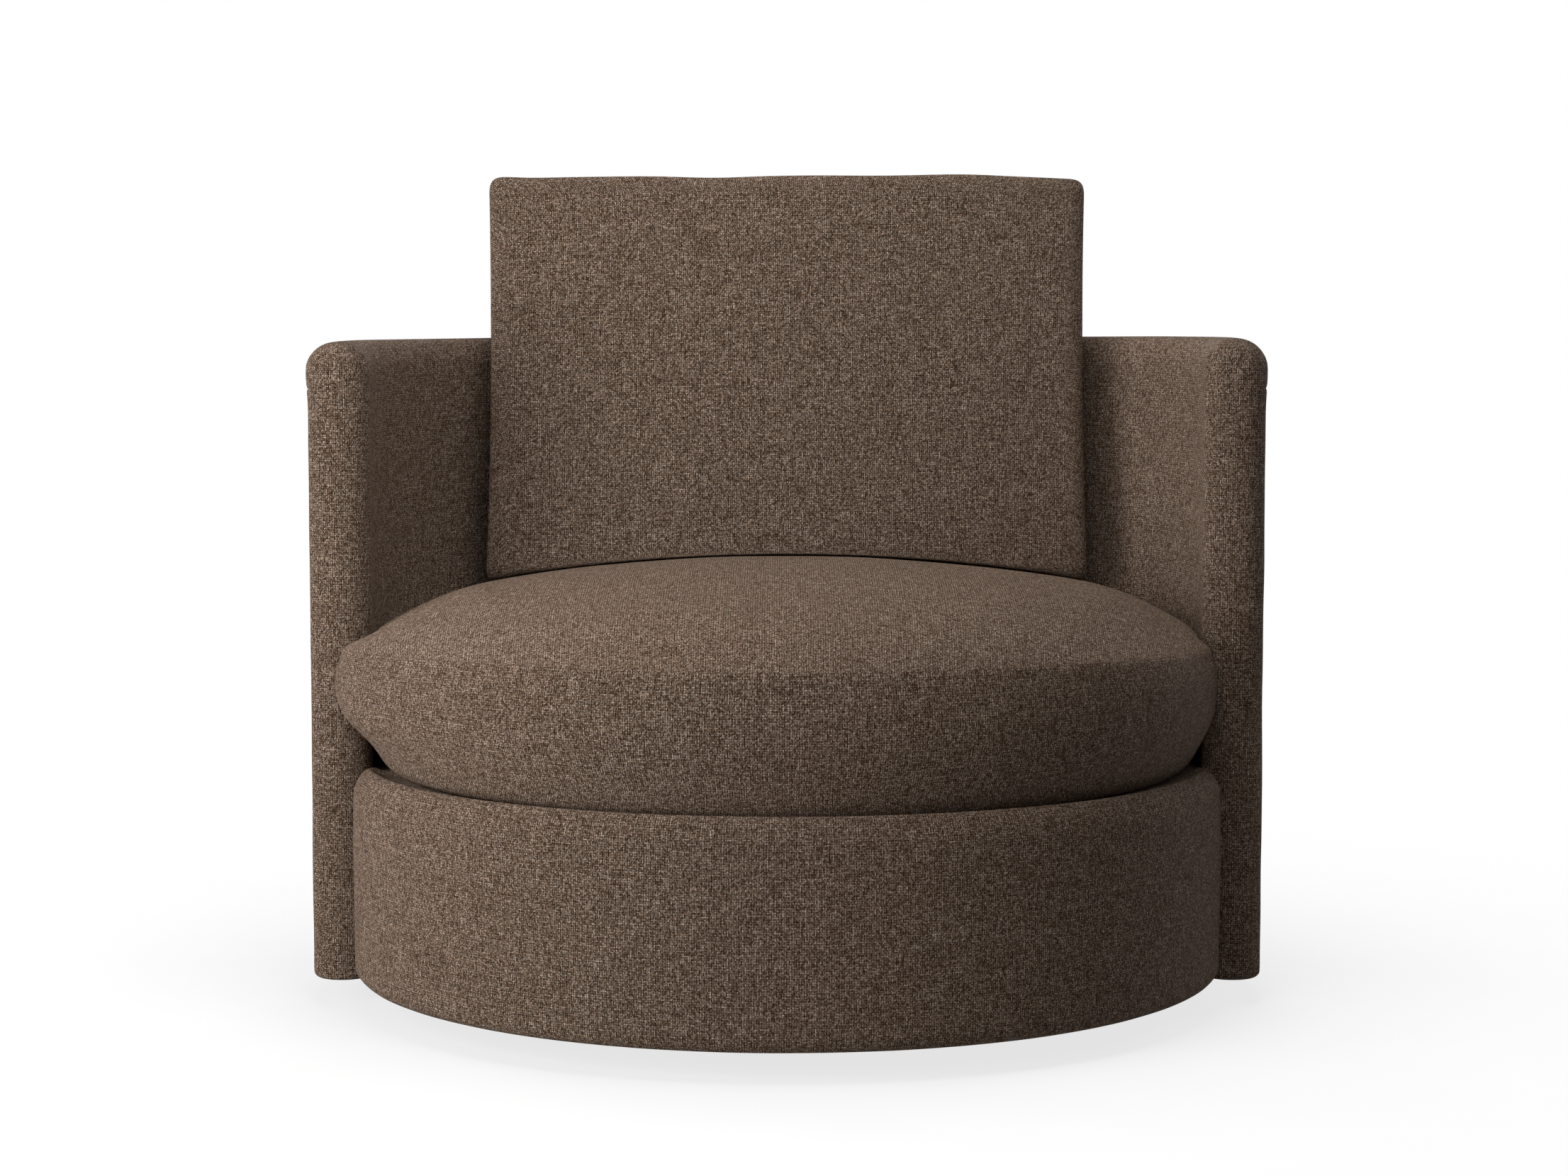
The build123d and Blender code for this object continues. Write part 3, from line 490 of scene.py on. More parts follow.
# how far above and below the rim, and how far past the wall's middle, the wall presses on a cushion
RIM_REACH = 0.02
WALL_REACH = 0.04
# how firmly the cloth keeps its place while it is filled
SEAT_HOLD = {"top": 0.35, "seam": 0.75, "border": 0.3, "under": 0.9}


def seat_crown_profile():
    """Radius and height along the top panel, from the middle to the seam."""
    crown, heading = arc((0, SEAT_CROWN), 0, SEAT_SHOULDER, 40)
    fall, _ = arc(SEAT_SHOULDER, heading, SEAT_SEAM, 30)
    return np.concatenate([crown, fall[1:]])


SEAT_TOP = seat_crown_profile()


def seat_height(points):
    """Height of the seat cushion's top under each point."""
    return np.interp(np.hypot(points[:, 0], points[:, 1]), SEAT_TOP[:, 0], SEAT_TOP[:, 1])


def clear_of_wall(points):
    """Press points softly out of the arms and back."""
    moved = points.copy()
    corner_y = ARM_FRONT + WALL / 2
    end_angle = math.asin(corner_y / MIDDLE_RADIUS)
    angle = np.arctan2(points[:, 1], abs(points[:, 0]))
    angle = np.maximum(angle, end_angle)
    side = np.where(points[:, 0] < 0, -1, 1)
    nearest = MIDDLE_RADIUS * pair(side * np.cos(angle), np.sin(angle))
    away = points[:, :2] - nearest
    distance = np.hypot(away[:, 0], away[:, 1])
    wanted = WALL / 2 + CLEARANCE
    pushed = wanted + soften(distance - wanted)
    below_rim = 1 - ease(points[:, 2], ARM_HEIGHT - RIM_REACH, ARM_HEIGHT + RIM_REACH)
    inside = np.hypot(points[:, 0], points[:, 1]) < MIDDLE_RADIUS + WALL_REACH
    share = (below_rim * inside)[:, None]
    target = nearest + away / np.maximum(distance, 1e-6)[:, None] * pushed[:, None]
    moved[:, :2] += share * (target - points[:, :2])
    return moved


def clear_of_seat(points):
    """Press points softly up out of the seat cushion's top."""
    moved = points.copy()
    floor = seat_height(points) + CLEARANCE
    moved[:, 2] = floor + soften(points[:, 2] - floor)
    return moved


def vertices_of(mesh):
    """Where a mesh's points are."""
    places = np.empty(len(mesh.vertices) * 3)
    mesh.vertices.foreach_get("co", places)
    return places.reshape(-1, 3)


def fill(piece, hold, reach):
    """Fill a cover with air for a moment, so that its cloth takes up the strain between the seams.

    hold is how firmly each point keeps its place, and reach the most that a point may move."""
    mesh = piece.data
    before = vertices_of(mesh)
    group = piece.vertex_groups.new(name="hold")
    for number, weight in enumerate(hold):
        group.add([number], float(weight), "REPLACE")
    cloth = piece.modifiers.new("fill", "CLOTH")
    settings = cloth.settings
    settings.quality = 5
    settings.mass = 0.4
    settings.tension_stiffness = 30
    settings.compression_stiffness = 30
    settings.shear_stiffness = 12
    settings.bending_stiffness = 3
    settings.use_pressure = True
    settings.uniform_pressure_force = FILL_PRESSURE
    settings.effector_weights.gravity = 0
    settings.vertex_group_mass = "hold"
    settings.pin_stiffness = 1
    cloth.collision_settings.use_collision = False
    cloth.point_cache.frame_start = 1
    cloth.point_cache.frame_end = FILL_FRAMES
    scene = bpy.context.scene
    for number in range(1, FILL_FRAMES + 1):
        scene.frame_set(number)
    filled = piece.evaluated_get(bpy.context.evaluated_depsgraph_get())
    move = vertices_of(filled.data) - before
    size = np.linalg.norm(move, axis=1)
    move *= np.minimum(1, reach / np.maximum(size, 1e-9))[:, None]
    piece.modifiers.remove(cloth)
    piece.vertex_groups.remove(group)
    scene.frame_set(1)
    mesh.vertices.foreach_set("co", (before + move).ravel())
    mesh.update()


def points_of(piece):
    """A piece's points, about the barrel's axis."""
    return vertices_of(piece.data) - (0, AXIS_Y, 0)


def put_points(piece, points):
    """Move a piece's points, given about the barrel's axis."""
    piece.data.vertices.foreach_set("co", (points + (0, AXIS_Y, 0)).ravel())
    piece.data.update()


def seat_cushion():
    """Round loose cushion: a crowned top, a full border, and a flat underside."""
    reach, angle = disc_grid(SEAT_STEPS)
    track = lengths(SEAT_TOP)
    away = reach * track[-1]
    radius = np.interp(away, track, SEAT_TOP[:, 0])
    top = polar(radius, angle, np.interp(away, track, SEAT_TOP[:, 1]))
    top_weave = polar(away, angle)[..., :2]

    centre, border_radius = circle_through(SEAT_SEAM, SEAT_BULGE, SEAT_FOOT)
    heights = np.array(BORDER_HEIGHTS)
    radii = centre[0] + np.sqrt(border_radius**2 - (heights - centre[1]) ** 2)
    turn = edge_of(angle)
    groove = ease(turn, ZIP_START - GROOVE_END, ZIP_START)
    groove = groove * (1 - ease(turn, ZIP_END, ZIP_END + GROOVE_END))
    in_groove = (abs(heights - ZIP_HEIGHT) < ZIP_GROOVE / 2)[:, None] * groove[None, :]
    border = polar(radii[:, None], turn, heights[:, None])

    under_turn, _ = arc((SEAT_REST_RADIUS, SEAT_UNDER), 0, SEAT_FOOT, 12)
    under_track = np.concatenate([[(0, SEAT_UNDER)], under_turn])
    under_length = lengths(under_track)
    away = reach * under_length[-1]
    radius = np.interp(away, under_length, under_track[:, 0])
    under = polar(radius, angle, np.interp(away, under_length, under_track[:, 1]))

    cover = Cloth()
    top_numbers = cover.lay(top)
    border_numbers = cover.lay(border)
    under_numbers = cover.lay(under)
    cover.sew(top_numbers, top_weave)
    cover.sew(under_numbers, polar(away, angle)[..., :2], flip=True)
    band = np.vstack([edge_of(top_numbers)[None], border_numbers, edge_of(under_numbers)[None]])
    down = lengths(np.concatenate([[SEAT_SEAM], pair(radii, heights), [SEAT_FOOT]]))
    round_it = np.concatenate([np.unwrap(turn), [np.unwrap(turn)[0] + 2 * math.pi]]) * SEAT_BULGE[0]
    cover.sew(closed(band), pair(round_it[None, :], -down[:, None]), flip=True)

    hold = np.full(len(cover.points), SEAT_HOLD["top"])
    hold[under_numbers] = SEAT_HOLD["under"]
    hold[border_numbers] = SEAT_HOLD["border"]
    hold[edge_of(top_numbers)] = SEAT_HOLD["seam"]
    piece = cover.make("seat_cushion")
    fill(piece, hold, FILL_REACH)
    points = points_of(piece)
    direction = points[:, :2] / np.maximum(np.hypot(points[:, 0], points[:, 1]), 1e-6)[:, None]
    turned = np.arctan2(points[:, 1], points[:, 0])
    side = ease(points[:, 2], SEAT_FOOT[1], SEAT_BULGE[1]) * (1 - ease(points[:, 2], *SIDE_END))
    for place, amount, width in SEAT_SPILL:
        spill = amount * side * bump(turn_from(turned, place), 0, width)
        points[:, :2] += spill[:, None] * direction
    out = np.hypot(points[:, 0], points[:, 1])
    low = ease(out, *TUCK_REACH) * (1 - ease(points[:, 2], SEAT_FOOT[1], TUCK_TOP))
    points[:, :2] -= (SEAT_TUCK * low)[:, None] * direction
    outer = ease(out, *SINK_REACH) * ease(points[:, 2], *SINK_HEIGHTS)
    for place, amount, width in SEAT_SINK:
        points[:, 2] -= amount * outer * bump(turn_from(turned, place), 0, width)
    points[:, 2] += waves(points, SEAT_TOP_WAVES) * ease(points[:, 2], *WAVE_START)
    points[:, :2] += (waves(points, SEAT_SIDE_WAVES) * side)[:, None] * direction
    points = clear_of_wall(points)
    sunk = np.zeros(len(points))
    sunk[border_numbers] = in_groove * ZIP_DEPTH
    points[:, :2] -= sunk[:, None] * direction
    points[:, 2] = np.maximum(points[:, 2], SEAT_UNDER)
    put_points(piece, points)
    return piece


BACK_COLUMNS = 88
BACK_ROWS = 62
BACK_UP = np.array([0, math.sin(BACK_LEAN), math.cos(BACK_LEAN)])
BACK_FACING = np.array([0, -math.cos(BACK_LEAN), math.sin(BACK_LEAN)])
BACK_WAVES = ((0.0025, 0.2, 21), (0.001, 0.07, 22))
# how firmly the cloth keeps its place while it is filled
BACK_HOLD = {"faces": 0.3, "border": 0.45, "seams": 0.8}
BACK_WAVE_START = (0.6, 1)
LEAST_CORNER = 0.004
# how far the sides stand behind the middle where they press against the barrel
BACK_WRAP = 0.014
# rows of the border either side of the zip, ahead of the cushion's middle, and how high the slot goes
ZIP_ROWS = (-0.0066, -0.0072, -0.0218, -0.0224)
ZIP_SLOT_TOP = 0.4765
# slow waves of the back cushion's top edge: place across, height, width
TOP_WAVES = ((-0.33, 0.002, 0.03), (-0.08, -0.0025, 0.05), (0.20, 0.0025, 0.06), (0.33, -0.001, 0.03))


def back_outline(across, up, inset):
    """Points of the back cushion's outline, drawn in by inset, for places on a square's border."""
    half = np.array([BACK_WIDTH / 2 - inset, BACK_HEIGHT / 2 - inset])
    corner = max(BACK_CORNER - inset, LEAST_CORNER)
    box = pair(across, up) * half
    past = np.maximum(abs(box) - (half - corner), 0)
    both = (past > 0).all(-1)
    size = np.maximum(np.linalg.norm(past, axis=-1), 1e-9)[..., None]
    rounded = np.sign(box) * (half - corner + past / size * corner)
    return np.where(both[..., None], rounded, box)


def back_draw(flat):
    """Draw the sides and the top in between the corners, and give the top edge its slow waves."""
    share = flat / (BACK_WIDTH / 2, BACK_HEIGHT / 2)
    drawn = flat.copy()
    drawn[..., 0] -= BACK_SIDE_DRAW * (1 - share[..., 1] ** 2) * share[..., 0]
    drawn[..., 1] -= BACK_TOP_DRAW * (1 - share[..., 0] ** 2) * share[..., 1]
    near_top = ease(share[..., 1], *BACK_WAVE_START)
    for place, amount, width in TOP_WAVES:
        drawn[..., 1] += amount * near_top * bump(flat[..., 0], place, width)
    return drawn


def back_depth(flat):
    """How far the crowned face stands ahead of the cushion's middle."""
    return BACK_THICKNESS / 2 - (flat**2).sum(-1) / (2 * BACK_CROWN_RADIUS)


def back_place(flat, depth):
    """Points of the leaning cushion from places in its own plane and depths ahead of it."""
    centre = np.array([0, *BACK_CENTRE])
    across = np.array([1, 0, 0])
    return centre + flat[..., :1] * across + flat[..., 1:] * BACK_UP + depth[..., None] * BACK_FACING


def back_cushion():
    """Loose cushion with two crowned faces and a border, standing on the seat cushion."""
    across, up = np.meshgrid(np.linspace(-1, 1, BACK_COLUMNS + 1), np.linspace(-1, 1, BACK_ROWS + 1))
    ring = np.maximum(np.maximum(abs(across), abs(up)), 1e-6)
    edge = back_outline(across / ring, up / ring, BACK_EDGE)
    face = back_draw(edge * ring[..., None])
    depth = back_depth(face)
    front = back_place(face, depth)
    rear = back_place(face, -depth)

    edge_across = edge_of(across)
    edge_up = edge_of(up)
    seam_depth = edge_of(depth)
    rows = []
    for turn in np.linspace(0, math.pi / 2, 7)[1:]:
        outline = back_draw(back_outline(edge_across, edge_up, BACK_EDGE * (1 - math.sin(turn))))
        rows.append((outline, seam_depth - BACK_EDGE * (1 - math.cos(turn))))
    outline, side_depth = rows[-1]
    between = [(outline, side_depth * share) for share in np.linspace(1, -1, 12)[1:-1]]
    between += [(outline, side_depth * 0 + value) for value in ZIP_ROWS]
    between.sort(key=lambda row: -row[1].mean())
    mirrored = [(flat, -value) for flat, value in reversed(rows)]
    border = np.stack([back_place(flat, value) for flat, value in rows + between + mirrored])

    cover = Cloth()
    front_numbers = cover.lay(front)
    border_numbers = cover.lay(border)
    rear_numbers = cover.lay(rear)
    cover.sew(front_numbers, face)
    cover.sew(rear_numbers, face * (-1, 1), flip=True)
    band = np.vstack([edge_of(front_numbers)[None], border_numbers, edge_of(rear_numbers)[None]])
    along = lengths(np.concatenate([outline, outline[:1]]))
    across_band = lengths(np.vstack([edge_of(front)[:1], border[:, 0], edge_of(rear)[:1]]))
    cover.sew(closed(band), pair(along[None, :], across_band[:, None]), flip=True)

    hold = np.full(len(cover.points), BACK_HOLD["faces"])
    hold[border_numbers] = BACK_HOLD["border"]
    hold[border_numbers[len(rows) - 1]] = BACK_HOLD["seams"]
    hold[border_numbers[-len(rows)]] = BACK_HOLD["seams"]
    piece = cover.make("back_cushion")
    fill(piece, hold, FILL_REACH)
    points = points_of(piece)
    points += waves(points, BACK_WAVES)[:, None] * BACK_FACING
    points[:, 1] += BACK_WRAP * (points[:, 0] / (BACK_WIDTH / 2)) ** 2
    points = clear_of_wall(points)
    points = clear_of_seat(points)
    depths = np.array([value.mean() for flat, value in rows + between + mirrored])
    below = (edge_up <= -1) & (abs(border[0][:, 0]) < BACK_ZIP_HALF)
    for value in ZIP_ROWS[1:3]:
        slot = border_numbers[np.argmin(abs(depths - value))][below]
        points[slot, 2] = ZIP_SLOT_TOP
    put_points(piece, points)
    return piece


# The zips

# how far a tape stands off the groove's floor, and how far it stays clear of the seat groove's sides
TAPE_LIFT = 0.0002
TAPE_CLEARANCE = 0.001
BACK_TAPE_HALF = 0.0068
# the tape's height at its edge, and the places across and heights of its raised middle
TAPE_EDGE = 0.0002
TAPE_RIDGE = ((0.0032, 0.0003), (0.0028, 0.0007))
TOOTH_PITCH = 0.0026
# a tooth's section across the zip and away from the tape, its rows along the zip, and its rounded ends
TOOTH_LOOP = ((-0.0022, 0.0007), (-0.0014, ZIP_TAPE), (0.0014, ZIP_TAPE), (0.0022, 0.0007))
TOOTH_ROWS = (-0.0008, -0.0005, 0.0005, 0.0008)
TOOTH_END_DROP = 0.0003
# every other tooth stands to the other side
TOOTH_SHIFT = 0.0006


def zip_chain(name, middle, across, outward, half):
    """The tape of a zip along a row of points, and its teeth: half is half the tape's width."""
    flank = [(half, TAPE_EDGE), *TAPE_RIDGE]
    section = [(-side, out) for side, out in flank] + flank[::-1]
    tape = Cloth()
    strip = np.stack([middle + side * across + out * outward for side, out in section])
    along = lengths(middle)
    tape.sew(tape.lay(strip), pair(along[None, :], np.array(section)[:, :1]))

    teeth = Cloth()
    count = int(along[-1] / TOOTH_PITCH)
    for number in range(count):
        at = (number + 0.5) * TOOTH_PITCH
        centre, side, out = (
            np.array([np.interp(at, along, values[:, axis]) for axis in range(3)])
            for values in (middle, across, outward)
        )
        run = np.cross(side, out)
        shift = TOOTH_SHIFT if number % 2 else -TOOTH_SHIFT
        loop = np.array([(shift + wide) * side + high * out for wide, high in TOOTH_LOOP])
        wire = np.array([centre + loop + forward * run for forward in TOOTH_ROWS])
        wire[[0, -1], 1:3] -= TOOTH_END_DROP * out
        teeth.sew(teeth.lay(wire), pair(wire[:, :, 0], wire[:, :, 1]))
    return tape.make(name + "_tape_cloth"), teeth.make(name + "_teeth")


def seat_zip():
    """The zip round the back of the seat cushion's border."""
    turn = np.linspace(ZIP_START, ZIP_END, 120)
    outward = polar(1, turn)
    radius = INNER_RADIUS - CLEARANCE - ZIP_DEPTH + TAPE_LIFT
    middle = radius * outward + (0, 0, ZIP_HEIGHT)
    across = np.broadcast_to((0.0, 0.0, 1.0), middle.shape)
    return zip_chain("seat_zip", middle, across, outward, ZIP_GROOVE / 2 - TAPE_CLEARANCE)


def back_zip():
    """The zip in the back cushion's underside."""
    x = np.linspace(-BACK_ZIP_HALF, BACK_ZIP_HALF, 60)
    middle = np.stack([x, 0 * x + BACK_ZIP_BEHIND, 0 * x + BACK_ZIP_TOP - TAPE_LIFT], -1)
    across = np.broadcast_to((0.0, 1.0, 0.0), middle.shape)
    outward = np.broadcast_to((0.0, 0.0, -1.0), middle.shape)
    return zip_chain("back_zip", middle, across, outward, BACK_TAPE_HALF)


# Materials, all made of nodes


def new_material(name):
    """An empty node material, and its tree."""
    material = bpy.data.materials.new(name)
    material.use_nodes = True
    material.node_tree.nodes.clear()
    return material, material.node_tree


def give(tree, socket, value):
    """Link a node's input to another node's output, or set it."""
    if isinstance(value, bpy.types.NodeSocket):
        tree.links.new(value, socket)
    else:
        socket.default_value = value


def add(tree, kind, inputs=None, **settings):
    """Add a node, set its fields, and set or link its inputs."""
    node = tree.nodes.new(kind)
    for field, value in settings.items():
        setattr(node, field, value)
    for key, value in (inputs or {}).items():
        give(tree, node.inputs[key], value)
    return node


def calculate(tree, operation, first, second=0.0, third=0.0):
    """A number worked out from two or three others."""
    return add(tree, "ShaderNodeMath", {0: first, 1: second, 2: third}, operation=operation).outputs[0]


def weigh(tree, start, *parts):
    """A number plus values, each times its share."""
    total = start
    for value, share in parts:
        total = calculate(tree, "MULTIPLY_ADD", value, share, total)
    return total


def mottle(tree, place, scale, detail):
    """Smooth random values over a place: a number first, and a colour."""
    return add(tree, "ShaderNodeTexNoise", {"Vector": place, "Scale": scale, "Detail": detail}).outputs


def stretch(tree, vector, scale):
    """A place scaled by a number or by three."""
    factors = scale if hasattr(scale, "__len__") else (scale,) * 3
    return add(tree, "ShaderNodeVectorMath", {0: vector, 1: factors}, operation="MULTIPLY").outputs[0]


def ramp(tree, factor, stops):
    """Colours along a factor, from pairs of place and colour."""
    node = add(tree, "ShaderNodeValToRGB", {"Fac": factor})
    elements = node.color_ramp.elements
    while len(elements) < len(stops):
        elements.new(0.5)
    for element, (place, colour) in zip(elements, stops):
        element.position = place
        element.color = (*colour, 1)
    return node.outputs["Color"]


def mix(tree, mode, factor, first, second):
    """Two colours mixed."""
    node = add(tree, "ShaderNodeMix", {"Factor": factor}, data_type="RGBA", blend_type=mode)
    tree.links.new(first, node.inputs[6])
    tree.links.new(second, node.inputs[7])
    return node.outputs[2]


def finish_surface(tree, colour, height, depth, **sockets):
    """The shader that ends a material, with its colour, its relief and its other inputs."""
    relief = add(tree, "ShaderNodeBump", {"Height": height, "Distance": depth, "Strength": 1.0})
    shader = add(tree, "ShaderNodeBsdfPrincipled", {"Base Color": colour, "Normal": relief.outputs[0]})
    for key, value in sockets.items():
        give(tree, shader.inputs[key.replace("_", " ")], value)
    add(tree, "ShaderNodeOutputMaterial", {0: shader.outputs[0]})


YARN = 0.0013
FLOAT_LENGTH = 0.0016
THREAD_PITCH = 0.00238
YARN_RELIEF = 0.0006
CAMBRIC_YARN = 0.0011
# how far the yarns stray
YARN_WANDER = 0.0012
# slubs run along the yarns: how many on the width of one, and on a metre of its length
SLUB_FINENESS = 0.65
SLUBS_PER_METRE = 40
# how much each pattern counts in the tone of a yarn
TONE_START = -0.165
CELL_SHARE = 0.60
COLUMN_SHARE = 0.38
ROW_SHARE = 0.28
CLOUD_SHARE = 0.04
THREAD_SHARES = (0.12, 0.08)
# how light each yarn is, from the darkest to the palest flecks
TWEED_STOPS = (
    (0.05, (0.038, 0.017, 0.007)),
    (0.22, (0.090, 0.052, 0.030)),
    (0.42, (0.180, 0.119, 0.083)),
    (0.62, (0.287, 0.204, 0.153)),
    (0.82, (0.480, 0.366, 0.294)),
    (0.97, (0.795, 0.640, 0.540)),
)
WARM_AND_COOL = ((0.36, (0.48, 0.5, 0.515)), (0.64, (0.513, 0.5, 0.475)))


def tweed():
    """Heathered tweed: a plain weave of mixed brown and cream yarns, with the upright ones in front."""
    material, tree = new_material("tweed")
    place = add(tree, "ShaderNodeUVMap", uv_map="weave").outputs[0]
    wander = mottle(tree, place, 60.0, 1.0)["Color"]
    half = (0.5, 0.5, 0.5)
    shift = add(tree, "ShaderNodeVectorMath", {0: wander, 1: half}, operation="SUBTRACT").outputs[0]
    offset = stretch(tree, shift, YARN_WANDER)
    bent = add(tree, "ShaderNodeVectorMath", {0: place, 1: offset}, operation="ADD").outputs[0]
    yarns = stretch(tree, bent, (1 / YARN, 1 / FLOAT_LENGTH, 1))
    cells = add(
        tree, "ShaderNodeTexVoronoi", {"Vector": yarns, "Scale": 1.0, "Randomness": 0.5},
        voronoi_dimensions="2D",
    ).outputs
    chosen = add(tree, "ShaderNodeSeparateColor", {"Color": cells["Color"]}).outputs[0]
    upright = stretch(tree, bent, (SLUB_FINENESS / YARN, SLUBS_PER_METRE, 1))
    level = stretch(tree, bent, (SLUBS_PER_METRE, SLUB_FINENESS / FLOAT_LENGTH, 1))
    threads = stretch(tree, bent, 2 * math.pi / THREAD_PITCH)
    runs = add(tree, "ShaderNodeSeparateXYZ", {"Vector": threads}).outputs
    tone = weigh(
        tree, TONE_START,
        (chosen, CELL_SHARE),
        (mottle(tree, upright, 1.0, 1.0)[0], COLUMN_SHARE),
        (mottle(tree, level, 1.0, 1.0)[0], ROW_SHARE),
        (mottle(tree, place, 40.0, 2.0)[0], CLOUD_SHARE),
        (calculate(tree, "SINE", runs[0]), THREAD_SHARES[0]),
        (calculate(tree, "SINE", runs[1]), THREAD_SHARES[1]),
    )
    heather = ramp(tree, mottle(tree, place, 200.0, 2.0)[0], WARM_AND_COOL)
    yarn_colour = mix(tree, "OVERLAY", 1.0, ramp(tree, tone, TWEED_STOPS), heather)
    # painted shade: each yarn's colour darkens towards the gaps between yarns, as if shadowed there
    painted_gap_shade = add(
        tree, "ShaderNodeMapRange",
        {"Value": cells["Distance"], "From Min": 0.2, "From Max": 0.7, "To Min": 1.0, "To Max": 0.2},
    ).outputs[0]
    colour = mix(tree, "MULTIPLY", 1.0, yarn_colour, painted_gap_shade)
    fluff = mottle(tree, yarns, 2.5, 2.0)[0]
    height = weigh(tree, 0.0, (cells["Distance"], -1.0), (fluff, 0.4))
    finish_surface(
        tree, colour, height, YARN_RELIEF,
        Roughness=0.95, Diffuse_Roughness=1.0, Specular_IOR_Level=0.06,
    )
    return material


def local_place(tree):
    """A piece's own coordinates, which ride with it."""
    return add(tree, "ShaderNodeTexCoord").outputs["Object"]


def cambric():
    """Thin black cloth with a fine even weave."""
    material, tree = new_material("cambric")
    place = local_place(tree)
    yarn = stretch(tree, place, 1 / CAMBRIC_YARN)
    cells = add(tree, "ShaderNodeTexVoronoi", {"Vector": yarn, "Scale": 1.0, "Randomness": 0.25})
    tone = add(tree, "ShaderNodeSeparateColor", {"Color": cells.outputs["Color"]}).outputs[0]
    colour = ramp(tree, tone, ((0.0, (0.012, 0.012, 0.013)), (1.0, (0.035, 0.034, 0.034))))
    height = cells.outputs["Distance"]
    finish_surface(tree, colour, height, 0.0002, Roughness=0.9, Specular_IOR_Level=0.2)
    return material


def speckled(name, low, high, size, depth, roughness):
    """A fine-grained surface between two colours."""
    material, tree = new_material(name)
    place = local_place(tree)
    grain = mottle(tree, place, 1 / size, 5.0)[0]
    broad = mottle(tree, place, 14.0, 2.0)[0]
    tone = weigh(tree, 0.0, (grain, 0.7), (broad, 0.3))
    colour = ramp(tree, tone, ((0.3, low), (0.7, high)))
    finish_surface(tree, colour, grain, depth, Roughness=roughness)
    return material


def grained(name, low, high, along, roughness):
    """Wood with rings stretched along the grain."""
    material, tree = new_material(name)
    place = stretch(tree, local_place(tree), along)
    rings = add(
        tree, "ShaderNodeTexWave",
        {"Vector": place, "Scale": 1.0, "Distortion": 9.0, "Detail": 4.0, "Detail Scale": 1.4},
    )
    pores = mottle(tree, place, 14.0, 4.0)[0]
    tone = weigh(tree, 0.0, (rings.outputs["Fac"], 0.6), (pores, 0.4))
    colour = ramp(tree, tone, ((0.2, low), (0.8, high)))
    finish_surface(tree, colour, tone, 0.0002, Roughness=roughness)
    return material


def brushed(name, low, high, roughness):
    """Metal with fine marks that vary its gloss."""
    material, tree = new_material(name)
    place = stretch(tree, local_place(tree), (1, 1, 8))
    marks = mottle(tree, place, 260.0, 4.0)[0]
    colour = ramp(tree, marks, ((0.3, low), (0.7, high)))
    gloss = {"Value": marks, "To Min": roughness - 0.08, "To Max": roughness + 0.12}
    spread = add(tree, "ShaderNodeMapRange", gloss).outputs[0]
    finish_surface(tree, colour, marks, 0.00005, Metallic=1.0, Roughness=spread)
    return material


# name, darker and lighter colour, grain size, relief, roughness
SPECKLED = (
    ("foam", (0.66, 0.58, 0.38), (0.86, 0.80, 0.60), 0.002, 0.0004, 0.95),
    ("fibre", (0.74, 0.74, 0.71), (0.90, 0.90, 0.88), 0.006, 0.001, 0.95),
    ("hardboard", (0.17, 0.10, 0.05), (0.31, 0.19, 0.11), 0.0015, 0.0002, 0.8),
    ("nylon", (0.70, 0.69, 0.65), (0.80, 0.79, 0.75), 0.003, 0.00005, 0.4),
    ("zip_tape", (0.04, 0.03, 0.024), (0.08, 0.06, 0.048), 0.0008, 0.0002, 0.9),
)
# name, darker and lighter colour, how closely the rings follow each other along x, y and z, roughness
GRAINED = (
    ("plywood", (0.46, 0.30, 0.16), (0.68, 0.50, 0.30), (4, 30, 30), 0.7),
    ("hardwood", (0.36, 0.22, 0.11), (0.58, 0.39, 0.22), (40, 40, 5), 0.6),
    ("black_plywood", (0.012, 0.012, 0.012), (0.03, 0.03, 0.03), (4, 30, 30), 0.45),
)
# name, darker and lighter colour, roughness
BRUSHED = (
    ("zinc_steel", (0.50, 0.50, 0.50), (0.68, 0.68, 0.67), 0.4),
    ("bright_steel", (0.64, 0.64, 0.64), (0.76, 0.76, 0.76), 0.2),
    ("zip_metal", (0.22, 0.18, 0.14), (0.38, 0.32, 0.26), 0.35),
)


def make_materials():
    """One material for each of the record's slots."""
    made = {"tweed": tweed(), "cambric": cambric()}
    for build, rows in ((speckled, SPECKLED), (grained, GRAINED), (brushed, BRUSHED)):
        for name, *rest in rows:
            made[name] = build(name, *rest)
    return made


# The floor, the light and the camera

FLOOR_RADIUS = 3.0
FLOOR_GLOW = 0.89
FLOOR_BOUNCE = (0.3, 0.3, 0.3, 1)
FLOOR_TONES = ((0.3, (0.145, 0.145, 0.145)), (0.7, (0.155, 0.155, 0.155)))
# distances from the middle between which the floor fades into the background
FLOOR_FADE = (0.9, 1.6)
# painted shadow in the floor's glow: how near the chair the floor dims, and how far down it goes there
FLOOR_PAINTED_SHADE_REACH = 0.6
FLOOR_PAINTED_SHADE = ((0.50, (0.86, 0.86, 0.86)), (0.93, (1.0, 1.0, 1.0)))
CAMERA_LENS = 80.3
CAMERA_DISTANCE = 3.745
CAMERA_HEIGHT = 0.735
CAMERA_X = -0.003
CAMERA_PITCH = math.radians(4.53)
AIM = Vector((0, 0, 0.42))
# name, degrees from the front towards the right, degrees up, distance, size, power
LIGHTS = (
    ("key", -45, 8.7, 1.86, 1.0, 26),
    ("overhead", 0, 67, 1.66, 0.8, 16),
    ("front", 5, 20, 3.5, 1.5, 13),
    ("behind_left", -128, 14, 3.5, 1.5, 40),
    ("behind_right", 128, 14, 3.5, 1.5, 40),
    ("behind", 180, 14, 3.5, 1.5, 30),
)
AMBIENT = 0.01


